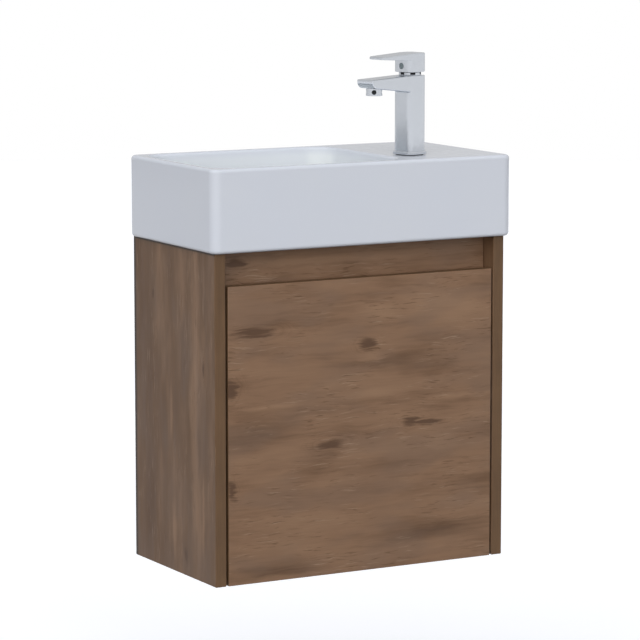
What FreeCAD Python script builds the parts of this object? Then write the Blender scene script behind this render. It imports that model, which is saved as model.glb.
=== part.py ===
"""Wall-hung vanity unit: a ceramic basin with a mixer tap on a wood-decor cabinet with one hinged door.

Frame: +X to the right, +Y to the wall, +Z up. The origin is midway between the wall fixings, on the
wall plane. Heights in the formulas below are counted from the cabinet's underside, and place() moves
them to the origin.
"""
import FreeCAD, Part
import os
import re
import Sketcher

UP = FreeCAD.Vector(0, 0, 1)
RIGHT = FreeCAD.Vector(1, 0, 0)
BACK = FreeCAD.Vector(0, 1, 0)

# Driving dimensions in millimetres
SIZES = [
    # Cabinet boards
    ("unit_width", 440, "cabinet, outside"),
    ("unit_depth", 240, "cabinet, wall to door face"),
    ("unit_height", 440, "cabinet, outside"),
    ("board", 16, "board thickness"),
    ("rear_rail_height", 100, "upper rear rail"),
    ("foot_rail_height", 60, "lower rear rail"),
    ("front_rail_height", 60, "rail behind the finger gap"),
    ("front_rail_setback", 26, "rail face behind the door face"),
    ("fixing_drop", 50, "wall fixings below the cabinet's top"),
    ("fixing_spacing", 320, "between the wall fixings"),
    ("fixing_hole_radius", 4.5, "wall fixing holes"),
    # Board joints
    ("fit_gap", 0.1, "round pieces in their holes"),
    ("dowel_radius", 4, "wooden dowels"),
    ("dowel_length", 30, "wooden dowels"),
    ("dowel_panel_depth", 10, "dowel in the side panel"),
    ("bolt_radius", 3, "cam bolts"),
    ("bolt_panel_depth", 11, "cam bolt in the side panel"),
    ("cam_setback", 24, "cam centre from the board end"),
    ("cam_radius", 7.5, "cam locks"),
    ("cam_depth", 12.5, "cam locks"),
    ("recess_radius", 2.5, "driver recess in a cam"),
    ("recess_depth", 2, "driver recess in a cam"),
    ("rail_fitting_edge", 20, "cam and dowel from a rail's edges"),
    ("panel_cam_edge", 50, "cams from the bottom panel's edges"),
    ("panel_dowel_step", 32, "dowel beside a cam in the bottom panel"),
    # Door
    ("finger_gap", 44, "cabinet top to door top"),
    ("door_thickness", 16, "door board"),
    ("door_side_gap", 3, "door to each side panel"),
    ("door_back_gap", 2, "door to the bottom panel's front edge"),
    ("bumper_radius", 4, "door bumpers"),
    ("bumper_gap", 0.3, "bumper to the edge that it meets"),
    ("bumper_inset", 45, "bumper from the side panel"),
    ("sweep_gap", 1, "bottom panel to the sweep of the door's corner"),
    # Hinges
    ("hinge_end_distance", 80, "hinge from the door's ends"),
    ("cup_radius", 17.5, "hinge cup"),
    ("cup_depth", 12.5, "hinge cup"),
    ("cup_wall", 0.8, "hinge cup sheet"),
    ("cup_edge_distance", 4, "cup to the door's edge"),
    ("cup_flange", 1.5, "flange beyond the cup"),
    ("flange_thickness", 1, "cup flange"),
    ("ear_offset", 9.5, "screw ears from the cup's centre"),
    ("ear_width", 13, "screw ears"),
    ("ear_spacing", 48, "between the cup screws"),
    ("pin_radius", 2, "hinge pin"),
    ("pin_edge_distance", 13, "hinge pin to the door's edge"),
    ("pin_face_depth", 8, "hinge pin behind the door face"),
    ("running_gap", 0.05, "pins and stems that turn or slide"),
    ("lug_width", 6, "pin lugs in the cup"),
    ("lug_gap", 0.4, "pin lug to the arm"),
    ("lug_span", 11, "pin lug's far face from the cup's centre"),
    ("knuckle_radius", 3, "arm's eye on the pin"),
    ("arm_height", 12, "hinge arm"),
    ("arm_thickness", 3, "hinge arm"),
    ("arm_reach", 19.5, "arm's neck from the pin, towards the door's middle"),
    ("arm_clear", 17.5, "arm's cross bar behind the pin"),
    ("arm_length", 52, "arm along its plate"),
    ("arm_body", 6, "arm along its plate, thickness"),
    ("plate_thickness", 5, "mounting plate"),
    ("plate_length", 44, "mounting plate"),
    ("plate_height", 46, "mounting plate"),
    ("plate_hole_spacing", 32, "between the plate screws"),
    ("screw_radius", 1.75, "wood screws"),
    ("screw_head_radius", 3.5, "wood screws"),
    ("screw_head_height", 2, "wood screws"),
    ("screw_bite", 11, "wood screw in its board"),
    ("arm_screw_radius", 2, "arm to plate"),
    ("arm_screw_bite", 4, "arm screw in the plate"),
    # Basin
    ("basin_side_lap", 7, "basin past each side panel"),
    ("basin_front_lap", 10, "basin past the door face"),
    ("basin_height", 110, "basin, outside"),
    ("basin_corner", 13, "upright corners"),
    ("basin_edge", 5, "top and bottom edges"),
    ("skirt", 14, "wall round the hollow underside"),
    ("rim", 13, "rim beside the bowl"),
    ("rim_edge", 4, "rounding into the bowl"),
    ("deck_width", 159, "tap deck, bowl to the right-hand side"),
    ("deck_thickness", 14, "tap deck"),
    ("bowl_depth", 80, "rim to bowl floor"),
    ("bowl_corner", 35, "upright corners of the bowl"),
    ("bowl_round", 20, "bowl floor to its walls"),
    ("bowl_floor", 12, "ceramic under the bowl"),
    ("bowl_wall", 10, "ceramic between the bowl and the tap's room"),
    # Waste
    ("waste_from_left", 152, "waste from the basin's left side"),
    ("waste_from_wall", 125, "waste from the wall"),
    ("waste_hole_radius", 22.5, "hole in the bowl floor"),
    ("waste_recess_radius", 33, "seat of the flange"),
    ("waste_recess_depth", 3, "seat of the flange"),
    ("waste_flange_radius", 32, "waste flange"),
    ("waste_flange_thickness", 2.5, "waste flange"),
    ("waste_seal_thickness", 1.5, "washer under the flange"),
    ("tail_radius", 20.95, "threaded tail, nominal 1 1/4"),
    ("tail_bore_radius", 18, "threaded tail, inside"),
    ("tail_length", 80, "threaded tail below the flange"),
    ("tail_groove_width", 1.5, "groove under the nut"),
    ("tail_groove_depth", 0.8, "groove under the nut"),
    ("lower_washer_radius", 30, "washer under the basin"),
    ("lower_washer_thickness", 3, "washer under the basin"),
    ("backnut_radius", 29, "nut under the washer"),
    ("backnut_height", 8, "nut under the washer"),
    ("hub_radius", 9, "hub in the tail"),
    ("hub_height", 22, "hub in the tail"),
    ("hub_depth", 12, "hub below the flange top"),
    ("hub_rib", 3, "ribs that carry the hub"),
    ("clicker_radius", 6.5, "push mechanism's sleeve"),
    ("clicker_collar", 2, "push mechanism's collar on the hub"),
    ("plug_radius", 25, "plug cap"),
    ("plug_thickness", 4, "plug cap"),
    ("plug_edge", 1.5, "bevel round the plug cap"),
    ("plug_stem_radius", 4, "plug stem"),
    ("plug_stem_length", 38, "plug stem"),
    ("plug_seal_radius", 22, "ring under the plug cap"),
    ("plug_seal_width", 3, "ring under the plug cap"),
    ("plug_seal_thickness", 1.5, "ring under the plug cap"),
    # Tap
    ("tap_from_right", 120, "tap axis from the basin's right side"),
    ("tap_from_front", 70, "tap axis from the basin's front"),
    ("tap_turn", 15, "degrees that the tap is turned, from the left towards the front"),
    ("tap_hole_radius", 16.5, "hole in the deck"),
    ("base_seal_thickness", 1, "seal on the deck"),
    ("base_seal_inset", 0.5, "seal inside the ring's edge"),
    ("base_ring_thickness", 4, "ring under the body"),
    ("base_ring_width", 38, "ring under the body"),
    ("base_ring_edge", 1, "rounding of the ring's top"),
    ("base_hole_radius", 15.5, "way through the seal and the ring"),
    ("tap_width", 33, "square body"),
    ("tap_corner", 8, "body's upright corners"),
    ("tap_height", 102, "body above its ring"),
    ("tap_edge", 1, "rounding of the body's top"),
    ("spout_reach", 85.5, "tap axis to the spout's nose"),
    ("spout_width", 30, "spout"),
    ("spout_root", 23.5, "spout's thickness at the tap axis"),
    ("spout_tip", 11, "spout's thickness at its nose"),
    ("spout_fall", 2.6, "spout's top, from the body down to the nose"),
    ("spout_nose", 9, "rounding under the nose"),
    ("spout_edge", 1.5, "rounding along the spout"),
    ("waterway_radius", 3.5, "drilled ways"),
    ("aerator_reach", 68, "tap axis to the aerator"),
    ("aerator_radius", 11, "aerator"),
    ("aerator_seat", 14, "aerator's seat below the body's top"),
    ("aerator_drop", 10.4, "aerator below its seat"),
    ("aerator_thread_radius", 9, "aerator in the spout"),
    ("aerator_thread_length", 5, "aerator in the spout"),
    ("aerator_bore_radius", 7.5, "aerator, inside"),
    ("aerator_lip", 1.5, "lip that holds the screen"),
    ("air_hole_radius", 3, "air holes in the aerator"),
    ("air_hole_height", 5, "air holes above the aerator's foot"),
    ("screen_thickness", 7, "aerator insert with its screen"),
    ("aerator_washer_thickness", 1.2, "washer above the screen"),
    ("inlet_radius", 4.5, "hose threads"),
    ("inlet_depth", 14, "hose threads"),
    ("inlet_offset", 5, "hose threads towards the spout"),
    ("inlet_spacing", 18, "between the hose threads"),
    ("stud_radius", 4, "fixing stud"),
    ("stud_offset", 9, "fixing stud behind the tap axis"),
    ("stud_bite", 12, "stud in the body"),
    ("stud_tail", 14, "stud below its nut"),
    ("horseshoe_radius", 22, "washers under the deck"),
    ("horseshoe_slot", 29, "way for the hoses through the washers"),
    ("horseshoe_bridge", 4.5, "washer from the stud to the slot"),
    ("rubber_washer_thickness", 3, "upper washer"),
    ("steel_washer_thickness", 2, "lower washer"),
    ("stud_nut_radius", 7.5, "nut across its corners, half"),
    ("stud_nut_height", 7, "nut"),
    # Cartridge and lever
    ("cartridge_radius", 12.5, "cartridge"),
    ("cartridge_height", 26, "cartridge"),
    ("nut_height", 4, "nut that holds the cartridge"),
    ("neck_radius", 15, "ring between body and lever"),
    ("neck_height", 4.5, "body to lever"),
    ("neck_gap", 0.4, "neck ring to lever"),
    ("neck_wall", 2.4, "neck ring's wall round its sliding seal"),
    ("key_slot_width", 7, "slots for a key in the neck ring"),
    ("key_slot_depth", 3, "slots for a key in the neck ring"),
    ("carrier_radius", 8.5, "turning carrier in the cartridge"),
    ("carrier_height", 9, "turning carrier"),
    ("carrier_gap", 0.3, "round the carrier and the stem"),
    ("pivot_depth", 2, "lever pivot below the body's top"),
    ("stem_pin_radius", 1.2, "pin through the stem"),
    ("stem_pin_length", 15, "pin through the stem"),
    ("stem_width", 7, "square stem"),
    ("stem_height", 26, "stem above the pivot"),
    ("stem_foot", 3, "stem below the pivot"),
    ("stem_swing", 2, "room round the stem as it tilts"),
    ("lever_height", 25.7, "lever block"),
    ("lever_cavity_radius", 15.4, "hollow over the neck ring"),
    ("lever_cavity_height", 3.6, "hollow over the neck ring"),
    ("lever_reach", 64, "tap axis to the lever's tip"),
    ("lever_width", 32, "lever plate"),
    ("lever_root", 9.8, "lever plate at the block"),
    ("lever_tip", 3.6, "lever plate at its tip"),
    ("lever_bend", 4, "tap axis to where the lever's top starts to fall"),
    ("lever_fall", 3.4, "lever's top, from its bend down to the tip"),
    ("lever_tip_corner", 6, "lever plate's corners"),
    ("lever_edge", 1.5, "rounding of the lever's top"),
    ("relief_length", 6, "bevel under the block's rear"),
    ("relief_height", 1.5, "bevel under the block's rear"),
    ("grub_radius", 2, "grub screw"),
    ("grub_length", 6, "grub screw"),
    ("grub_height", 8.2, "grub screw above the block's underside"),
    ("index_radius", 4, "index cap"),
    ("index_depth", 2.5, "index cap in the block"),
]

# Sizes that follow from the ones above
DERIVED = [
    ("fixing_height", "=unit_height - fixing_drop", "wall fixings above the underside"),
    ("basin_width", "=unit_width + 2 * basin_side_lap", "basin, outside"),
    ("basin_depth", "=unit_depth + basin_front_lap", "basin, outside"),
]

doc = FreeCAD.newDocument("VanityUnit")
sheet = doc.addObject("Spreadsheet::Sheet", "Sizes")
for row, (alias, number, note) in enumerate(SIZES + DERIVED, start=1):
    sheet.set("A%d" % row, note)
    sheet.set("B%d" % row, str(number))
    sheet.setAlias("B%d" % row, alias)
doc.recompute()

ALIAS = re.compile(r"\b(%s)\b" % "|".join(alias for alias, number, note in SIZES + DERIVED))
nodes = []


# Helpers that tie shapes to the sheet

def value(formula):
    """The number that a formula of sheet sizes gives now."""
    return float(sheet.evalExpression(formula))


def link(formula):
    """The formula as an object outside the sheet writes it."""
    return ALIAS.sub(r"Sizes.\1", formula)


def bind(thing, **formulas):
    """Ties properties of an object to formulas."""
    for name, formula in formulas.items():
        thing.setExpression(name, link(formula))
    return thing


def place(thing, at, axis=UP):
    """Ties an object's place to three formulas, with its own Z along an axis."""
    thing.Placement = FreeCAD.Placement(FreeCAD.Vector(), FreeCAD.Rotation(UP, axis))
    thing.setExpression("Placement.Base.x", link(at[0]))
    thing.setExpression("Placement.Base.y", link(at[1]))
    thing.setExpression("Placement.Base.z", link("%s - fixing_height" % at[2]))
    return thing


def box(name, low, size):
    """A block from its low corner."""
    block = bind(doc.addObject("Part::Box", name), Length=size[0], Width=size[1], Height=size[2])
    return place(block, low)


def rod(name, radius, length, at, axis=UP):
    """A cylinder from the centre of its first end."""
    cylinder = bind(doc.addObject("Part::Cylinder", name), Radius=radius, Height=length)
    return place(cylinder, at, axis)


def group(name, pieces):
    """Separate solids as one object."""
    bundle = doc.addObject("Part::Compound", name)
    bundle.Links = pieces
    return bundle


def join(name, pieces):
    """Overlapping shapes as one solid."""
    union = doc.addObject("Part::MultiFuse", name)
    union.Shapes = pieces
    union.Refine = True
    return union


def cut(name, base, tools):
    """A shape without its holes."""
    result = doc.addObject("Part::Cut", name)
    result.Base = base
    result.Tool = tools[0] if len(tools) == 1 else join(name + "_tools", tools)
    return result


def node(label, thing):
    """Names a finished sub-part and keeps it for the export."""
    thing.Label = label
    nodes.append(thing)
    return thing


def sketch_on(body, name, role, offset="0"):
    """A sketch on one of the body's origin planes, moved along the plane's normal."""
    sketch = body.newObject("Sketcher::SketchObject", name)
    plane = [feature for feature in body.Origin.OriginFeatures if feature.Role == role][0]
    sketch.AttachmentSupport = [(plane, "")]
    sketch.MapMode = "FlatFace"
    sketch.setExpression("AttachmentOffset.Base.z", link(offset))
    return sketch


def outline(sketch, points):
    """Straight edges through the points, each corner tied to its two formulas."""
    corners = [FreeCAD.Vector(value(across), value(up), 0) for across, up in points]
    for start, end in zip(corners, corners[1:] + corners[:1]):
        sketch.addGeometry(Part.LineSegment(start, end), False)
    for index in range(len(points)):
        following = (index + 1) % len(points)
        sketch.addConstraint(Sketcher.Constraint("Coincident", index, 2, following, 1))
    for index, (across, up) in enumerate(points):
        for kind, formula in (("DistanceX", across), ("DistanceY", up)):
            tie = Sketcher.Constraint(kind, -1, 1, index, 1, value(formula))
            number = sketch.addConstraint(tie)
            sketch.setExpression("Constraints[%d]" % number, link(formula))


def rectangle(low_x, low_y, high_x, high_y):
    """The four corners of an upright rectangle."""
    return [(low_x, low_y), (high_x, low_y), (high_x, high_y), (low_x, high_y)]


def extrude(body, name, kind, sketch, length, reverse=False):
    """A pad or a pocket of a sketch."""
    feature = body.newObject("PartDesign::" + kind, name)
    feature.Profile = sketch
    feature.Reversed = reverse
    sketch.Visibility = False
    return bind(feature, Length=length)


def rounded(body, name, base, radius, chosen):
    """A fillet on the edges of a feature that pass a test."""
    doc.recompute()
    edges = base.Shape.Edges
    feature = body.newObject("PartDesign::Fillet", name)
    feature.Base = (base, ["Edge%d" % number for number, edge in enumerate(edges, start=1) if chosen(edge)])
    return bind(feature, Radius=radius)


def upright(edge):
    """Whether an edge is straight and runs along Z."""
    run = edge.Vertexes[-1].Point - edge.Vertexes[0].Point
    return isinstance(edge.Curve, Part.Line) and abs(run.z) > 0.999 * run.Length


def level(edge, height):
    """Whether an edge lies flat at a height."""
    bounds = edge.BoundBox
    return abs(bounds.ZMin - height) < 0.01 and abs(bounds.ZMax - height) < 0.01


def turned(name, profile, at):
    """A round piece: a closed profile of radius and height, turned about Z."""
    body = doc.addObject("PartDesign::Body", name)
    sketch = sketch_on(body, name + "_profile", "XZ_Plane")
    outline(sketch, profile)
    revolution = body.newObject("PartDesign::Revolution", name + "_turn")
    revolution.Profile = sketch
    revolution.ReferenceAxis = (sketch, ["V_Axis"])
    revolution.Angle = 360
    return place(body, at)


def ring(name, outer, inner, thickness, at):
    """A flat washer."""
    return turned(name, rectangle(inner, "0", outer, thickness), at)


def rounded_block(name, size, corner, at):
    """An upright block with rounded corners, centred on its axis. Gives the body and its last feature."""
    body = doc.addObject("PartDesign::Body", name)
    sketch = sketch_on(body, name + "_outline", "XY_Plane")
    half_x = "%s / 2" % size[0]
    half_y = "%s / 2" % size[1]
    outline(sketch, rectangle("-" + half_x, "-" + half_y, half_x, half_y))
    pad = extrude(body, name + "_pad", "Pad", sketch, size[2])
    corners = rounded(body, name + "_corners", pad, corner, upright)
    return place(body, at), corners


# Places that several pieces share
INNER = "(unit_width / 2 - board)"
INNER_WIDTH = "(unit_width - 2 * board)"
DOOR_BACK = "(door_thickness - unit_depth)"
DOOR_TOP = "(unit_height - finger_gap)"
DOOR_HALF = "(unit_width / 2 - board - door_side_gap)"
PANEL_FRONT = "(door_thickness + door_back_gap - unit_depth)"
FRONT_RAIL_FACE = "(front_rail_setback - unit_depth)"
FRONT_RAIL_BACK = "(front_rail_setback + board - unit_depth)"
REAR_RAIL_FOOT = "(unit_height - rear_rail_height)"
FRONT_RAIL_FOOT = "(unit_height - front_rail_height)"
SIDES = (-1, 1)

# Cabinet: cross boards between two side panels, held by hidden dowels and cam fittings

FOOT_RAIL_TOP = "(board + foot_rail_height)"
REAR_MIDDLE = "-board / 2"
FRONT_MIDDLE = "%s + board / 2" % FRONT_RAIL_FACE

# Board, depth and height of each dowel in its ends
DOWELS = [
    ("bottom_panel", "-(panel_cam_edge + panel_dowel_step)", "board / 2"),
    ("bottom_panel", "%s + panel_cam_edge + panel_dowel_step" % PANEL_FRONT, "board / 2"),
    ("rear_top_rail", REAR_MIDDLE, "unit_height - rail_fitting_edge"),
    ("rear_bottom_rail", REAR_MIDDLE, "%s - rail_fitting_edge" % FOOT_RAIL_TOP),
    ("front_top_rail", FRONT_MIDDLE, "unit_height - rail_fitting_edge"),
]

# Board, depth and height of each cam bolt in its ends, then the cam's mouth and the way that it goes in
CAMS = [
    ("bottom_panel", "-panel_cam_edge", "board / 2", ("-panel_cam_edge", "0"), UP),
    ("bottom_panel", "%s + panel_cam_edge" % PANEL_FRONT, "board / 2",
     ("%s + panel_cam_edge" % PANEL_FRONT, "0"), UP),
    ("rear_top_rail", REAR_MIDDLE, "%s + rail_fitting_edge" % REAR_RAIL_FOOT,
     ("-board", "%s + rail_fitting_edge" % REAR_RAIL_FOOT), BACK),
    ("rear_bottom_rail", REAR_MIDDLE, "board + rail_fitting_edge",
     ("-board", "board + rail_fitting_edge"), BACK),
    ("front_top_rail", FRONT_MIDDLE, "%s + rail_fitting_edge" % FRONT_RAIL_FOOT,
     (FRONT_RAIL_BACK, "%s + rail_fitting_edge" % FRONT_RAIL_FOOT), -BACK),
]

SIDE_NAMES = {-1: "left_side_panel", 1: "right_side_panel"}
BOARDS = {
    "left_side_panel": (("-unit_width / 2", "-unit_depth", "0"), ("board", "unit_depth", "unit_height")),
    "right_side_panel": ((INNER, "-unit_depth", "0"), ("board", "unit_depth", "unit_height")),
    "bottom_panel": (("-" + INNER, PANEL_FRONT, "0"), (INNER_WIDTH, "-" + PANEL_FRONT, "board")),
    "rear_top_rail": (("-" + INNER, "-board", REAR_RAIL_FOOT), (INNER_WIDTH, "board", "rear_rail_height")),
    "rear_bottom_rail": (("-" + INNER, "-board", "board"), (INNER_WIDTH, "board", "foot_rail_height")),
    "front_top_rail": (("-" + INNER, FRONT_RAIL_FACE, FRONT_RAIL_FOOT),
                       (INNER_WIDTH, "board", "front_rail_height")),
}
holes = {name: [] for name in BOARDS}


def add_dowels():
    """Dowels across every joint, with their holes in both boards."""
    dowels = []
    for side in SIDES:
        for board, depth, height in DOWELS:
            at = ("%d * (%s + dowel_panel_depth)" % (side, INNER), depth, height)
            hole = rod("dowel_hole", "dowel_radius + fit_gap", "dowel_length", at, RIGHT * -side)
            holes[board].append(hole)
            holes[SIDE_NAMES[side]].append(hole)
            dowels.append(rod("dowel", "dowel_radius", "dowel_length", at, RIGHT * -side))
    node("panel_dowels", group("dowels", dowels))


def add_cams():
    """Cam bolts in the side panels, and the cams that draw them in."""
    bolts = []
    cams = []
    for side in SIDES:
        for board, depth, height, mouth, inward in CAMS:
            at = ("%d * (%s + bolt_panel_depth)" % (side, INNER), depth, height)
            length = "bolt_panel_depth + cam_setback"
            hole = rod("bolt_hole", "bolt_radius + fit_gap", length, at, RIGHT * -side)
            holes[board].append(hole)
            holes[SIDE_NAMES[side]].append(hole)
            bolts.append(rod("bolt", "bolt_radius", length, at, RIGHT * -side))
            middle = "%d * (%s - cam_setback)" % (side, INNER)
            cam_at = (middle, mouth[0], mouth[1])
            holes[board].append(rod("cam_pocket", "cam_radius + fit_gap", "cam_depth", cam_at, inward))
            disc = rod("cam_disc", "cam_radius", "cam_depth", cam_at, inward)
            recess = rod("cam_recess", "recess_radius", "recess_depth", cam_at, inward)
            cams.append(cut("cam", disc, [recess, hole]))
    node("cam_bolts", group("bolts", bolts))
    node("cam_locks", group("cams", cams))


def add_boards():
    """The cabinet's boards, each with its holes."""
    for side in SIDES:
        at = ("%d * fixing_spacing / 2" % side, "-board", "fixing_height")
        holes["rear_top_rail"].append(rod("fixing_hole", "fixing_hole_radius", "board", at, BACK))
    for name, (low, size) in BOARDS.items():
        node(name, cut(name + "_cut", box(name + "_board", low, size), holes[name]))


# Hinges: each has a cup and a pin in the door, and a hooked arm on a plate on the right side panel

PIN_X = "(%s - pin_edge_distance)" % DOOR_HALF
PIN_Y = "(pin_face_depth - unit_depth)"
CUP_X = "(%s - cup_edge_distance - cup_radius)" % DOOR_HALF
EAR_X = "(%s - ear_offset)" % CUP_X
CUP_FLOOR = "(%s - cup_depth)" % DOOR_BACK
BAR_Y = "(%s + arm_clear)" % PIN_Y
PLATE_FACE = "(%s - plate_thickness)" % INNER
PLATE_BACK = "(%s + arm_length)" % BAR_Y
PLATE_SCREW_Y = "(%s - plate_length / 2)" % PLATE_BACK
ARM_SCREW_Y = "(%s - plate_length / 4)" % PLATE_BACK
SWEEP = "(sqrt(pin_edge_distance ^ 2 + (door_thickness - pin_face_depth) ^ 2) + sweep_gap)"
HINGES = {
    "lower": "hinge_end_distance",
    "upper": "(%s - hinge_end_distance)" % DOOR_TOP,
}
screws = {"plate": [], "arm": [], "cup": []}
door_holes = []


def screw(name, radius, length, head, at, axis):
    """A screw with a flat round head: the head stands outside the face at its place."""
    shank = rod(name + "_shank", radius, length, at, axis)
    outside = [
        "%s - %s * %d" % (place_along, head[1], step)
        for place_along, step in zip(at, (axis.x, axis.y, axis.z))
    ]
    top = rod(name + "_head", head[0], head[1], outside, axis)
    return join(name, [shank, top])


def add_cup(which, height):
    """The hinge cup in the door, with two lugs for the pin."""
    centre = (CUP_X, CUP_FLOOR, height)
    shell = rod("cup_outside", "cup_radius", "cup_depth + flange_thickness", centre, BACK)
    flange_at = (CUP_X, DOOR_BACK, height)
    flange = rod("cup_flange", "cup_radius + cup_flange", "flange_thickness", flange_at, BACK)
    ear_low = ("%s - ear_width / 2" % EAR_X, DOOR_BACK, "%s - ear_spacing / 2 - ear_width / 2" % height)
    ears = box("cup_ears", ear_low, ("ear_width", "flange_thickness", "ear_spacing + ear_width"))
    floor = (CUP_X, "%s + cup_wall" % CUP_FLOOR, height)
    hollow = rod("cup_hollow", "cup_radius - cup_wall", "cup_depth + flange_thickness", floor, BACK)
    tools = [hollow]
    for side in SIDES:
        at = (EAR_X, "%s + flange_thickness" % DOOR_BACK, "%s + %d * ear_spacing / 2" % (height, side))
        bite = "screw_bite + flange_thickness"
        hole = rod("cup_screw_hole", "screw_radius + fit_gap", bite, at, -BACK)
        tools.append(hole)
        door_holes.append(hole)
        head = ("screw_head_radius", "screw_head_height")
        screws["cup"].append(screw("cup_screw", "screw_radius", bite, head, at, -BACK))
    open_cup = cut("cup_shell", join("cup_solid", [shell, flange, ears]), tools)
    lug_depth = "%s + lug_width / 2 - %s" % (PIN_Y, CUP_FLOOR)
    lug_low = ("%s - lug_width / 2" % PIN_X, CUP_FLOOR, "%s - lug_span" % height)
    blank = box("lug_blank", lug_low, ("lug_width", lug_depth, "2 * lug_span"))
    gap_low = ("%s - lug_width" % PIN_X, CUP_FLOOR, "%s - arm_height / 2 - lug_gap" % height)
    gap = box("lug_gap", gap_low, ("2 * lug_width", "cup_depth", "arm_height + 2 * lug_gap"))
    pin_low = (PIN_X, PIN_Y, "%s - lug_span" % height)
    eye = rod("lug_eye", "pin_radius + running_gap", "2 * lug_span", pin_low)
    trim = doc.addObject("Part::Common", "lugs_in_cup")
    trim.Base = cut("lugs", blank, [gap, eye])
    trim.Tool = rod("lug_limit", "cup_radius - cup_wall / 2", "cup_depth", centre, BACK)
    node("hinge_cup_" + which, join("cup", [open_cup, trim]))
    node("hinge_pin_" + which, rod("hinge_pin", "pin_radius", "2 * lug_span", pin_low))
    door_holes.append(rod("cup_hole", "cup_radius + fit_gap", "cup_depth", centre, BACK))


def add_arm(which, height):
    """The hooked arm: from its eye on the pin out of the cup, round the door's edge and along its plate."""
    low = "%s - arm_height / 2" % height
    neck_x = "%s - arm_reach" % PIN_X
    half = "arm_thickness / 2"
    eye = rod("arm_eye", "knuckle_radius", "arm_height", (PIN_X, PIN_Y, low))
    strip = box("arm_strip", (neck_x, "%s - %s" % (PIN_Y, half), low),
                ("arm_reach", "arm_thickness", "arm_height"))
    neck = box("arm_neck", (neck_x, "%s - %s" % (PIN_Y, half), low),
               ("arm_thickness", "arm_clear + arm_thickness + %s" % half, "arm_height"))
    bar = box("arm_bar", (neck_x, BAR_Y, low),
              ("%s - (%s)" % (PLATE_FACE, neck_x), "arm_thickness", "arm_height"))
    along = box("arm_along", ("%s - arm_body" % PLATE_FACE, BAR_Y, low),
                ("arm_body", "arm_length", "arm_height"))
    bore = rod("arm_bore", "pin_radius + running_gap", "arm_height", (PIN_X, PIN_Y, low))
    at = ("%s - arm_body" % PLATE_FACE, ARM_SCREW_Y, height)
    bite = "arm_body + arm_screw_bite"
    hole = rod("arm_screw_hole", "arm_screw_radius + fit_gap", bite, at, RIGHT)
    head = ("screw_head_radius", "screw_head_height")
    screws["arm"].append(screw("arm_screw", "arm_screw_radius", bite, head, at, RIGHT))
    node("hinge_arm_" + which, cut("arm", join("arm_solid", [eye, strip, neck, bar, along]), [bore, hole]))
    return hole


def add_plate(which, height, arm_hole):
    """The mounting plate, screwed to the right side panel."""
    low = (PLATE_FACE, "%s - plate_length" % PLATE_BACK, "%s - plate_height / 2" % height)
    blank = box("plate_blank", low, ("plate_thickness", "plate_length", "plate_height"))
    tools = [arm_hole]
    for side in SIDES:
        at = (PLATE_FACE, PLATE_SCREW_Y, "%s + %d * plate_hole_spacing / 2" % (height, side))
        bite = "plate_thickness + screw_bite"
        hole = rod("plate_screw_hole", "screw_radius + fit_gap", bite, at, RIGHT)
        tools.append(hole)
        holes["right_side_panel"].append(hole)
        head = ("screw_head_radius", "screw_head_height")
        screws["plate"].append(screw("plate_screw", "screw_radius", bite, head, at, RIGHT))
    node("hinge_plate_" + which, cut("plate", blank, tools))


def add_hinges():
    """Both hinges and their screws."""
    for which, height in HINGES.items():
        add_cup(which, height)
        arm_hole = add_arm(which, height)
        add_plate(which, height, arm_hole)
    for kind, pieces in screws.items():
        node("hinge_%s_screws" % kind, group(kind + "_screws", pieces))


def add_door():
    """The slab door, its bumpers, and the corner of the bottom panel that it swings past."""
    slab = box("door_slab", ("-" + DOOR_HALF, "-unit_depth", "0"),
               ("2 * " + DOOR_HALF, "door_thickness", DOOR_TOP))
    node("door_panel", cut("door", slab, door_holes))
    relief = box("sweep_relief", ("%s - %s" % (PIN_X, SWEEP), PANEL_FRONT, "0"),
                 ("%s + pin_edge_distance + door_side_gap" % SWEEP,
                  "%s + %s - %s" % (PIN_Y, SWEEP, PANEL_FRONT), "board"))
    holes["bottom_panel"].append(relief)
    bumpers = []
    for side in SIDES:
        at = ("%d * (%s - bumper_inset)" % (side, INNER), DOOR_BACK, "board / 2")
        bumpers.append(rod("bumper", "bumper_radius", "door_back_gap - bumper_gap", at, BACK))
    node("door_bumpers", group("bumpers", bumpers))


add_dowels()
add_cams()
add_hinges()
add_door()
add_boards()

# Basin: a ceramic box with a bowl on the left and a tap deck on the right, hollow underneath

TAP_X = "(basin_width / 2 - tap_from_right)"
TAP_Y = "(tap_from_front - basin_depth)"
WASTE_X = "(waste_from_left - basin_width / 2)"
WASTE_Y = "-waste_from_wall"
DECK = "(unit_height + basin_height)"
DECK_UNDER = "(%s - deck_thickness)" % DECK
FLOOR = "(%s - bowl_depth)" % DECK
FLOOR_UNDER = "(%s - bowl_floor)" % FLOOR
SEAT = "(%s - waste_recess_depth)" % FLOOR
BOWL_RIGHT = "(basin_width / 2 - deck_width)"


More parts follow.
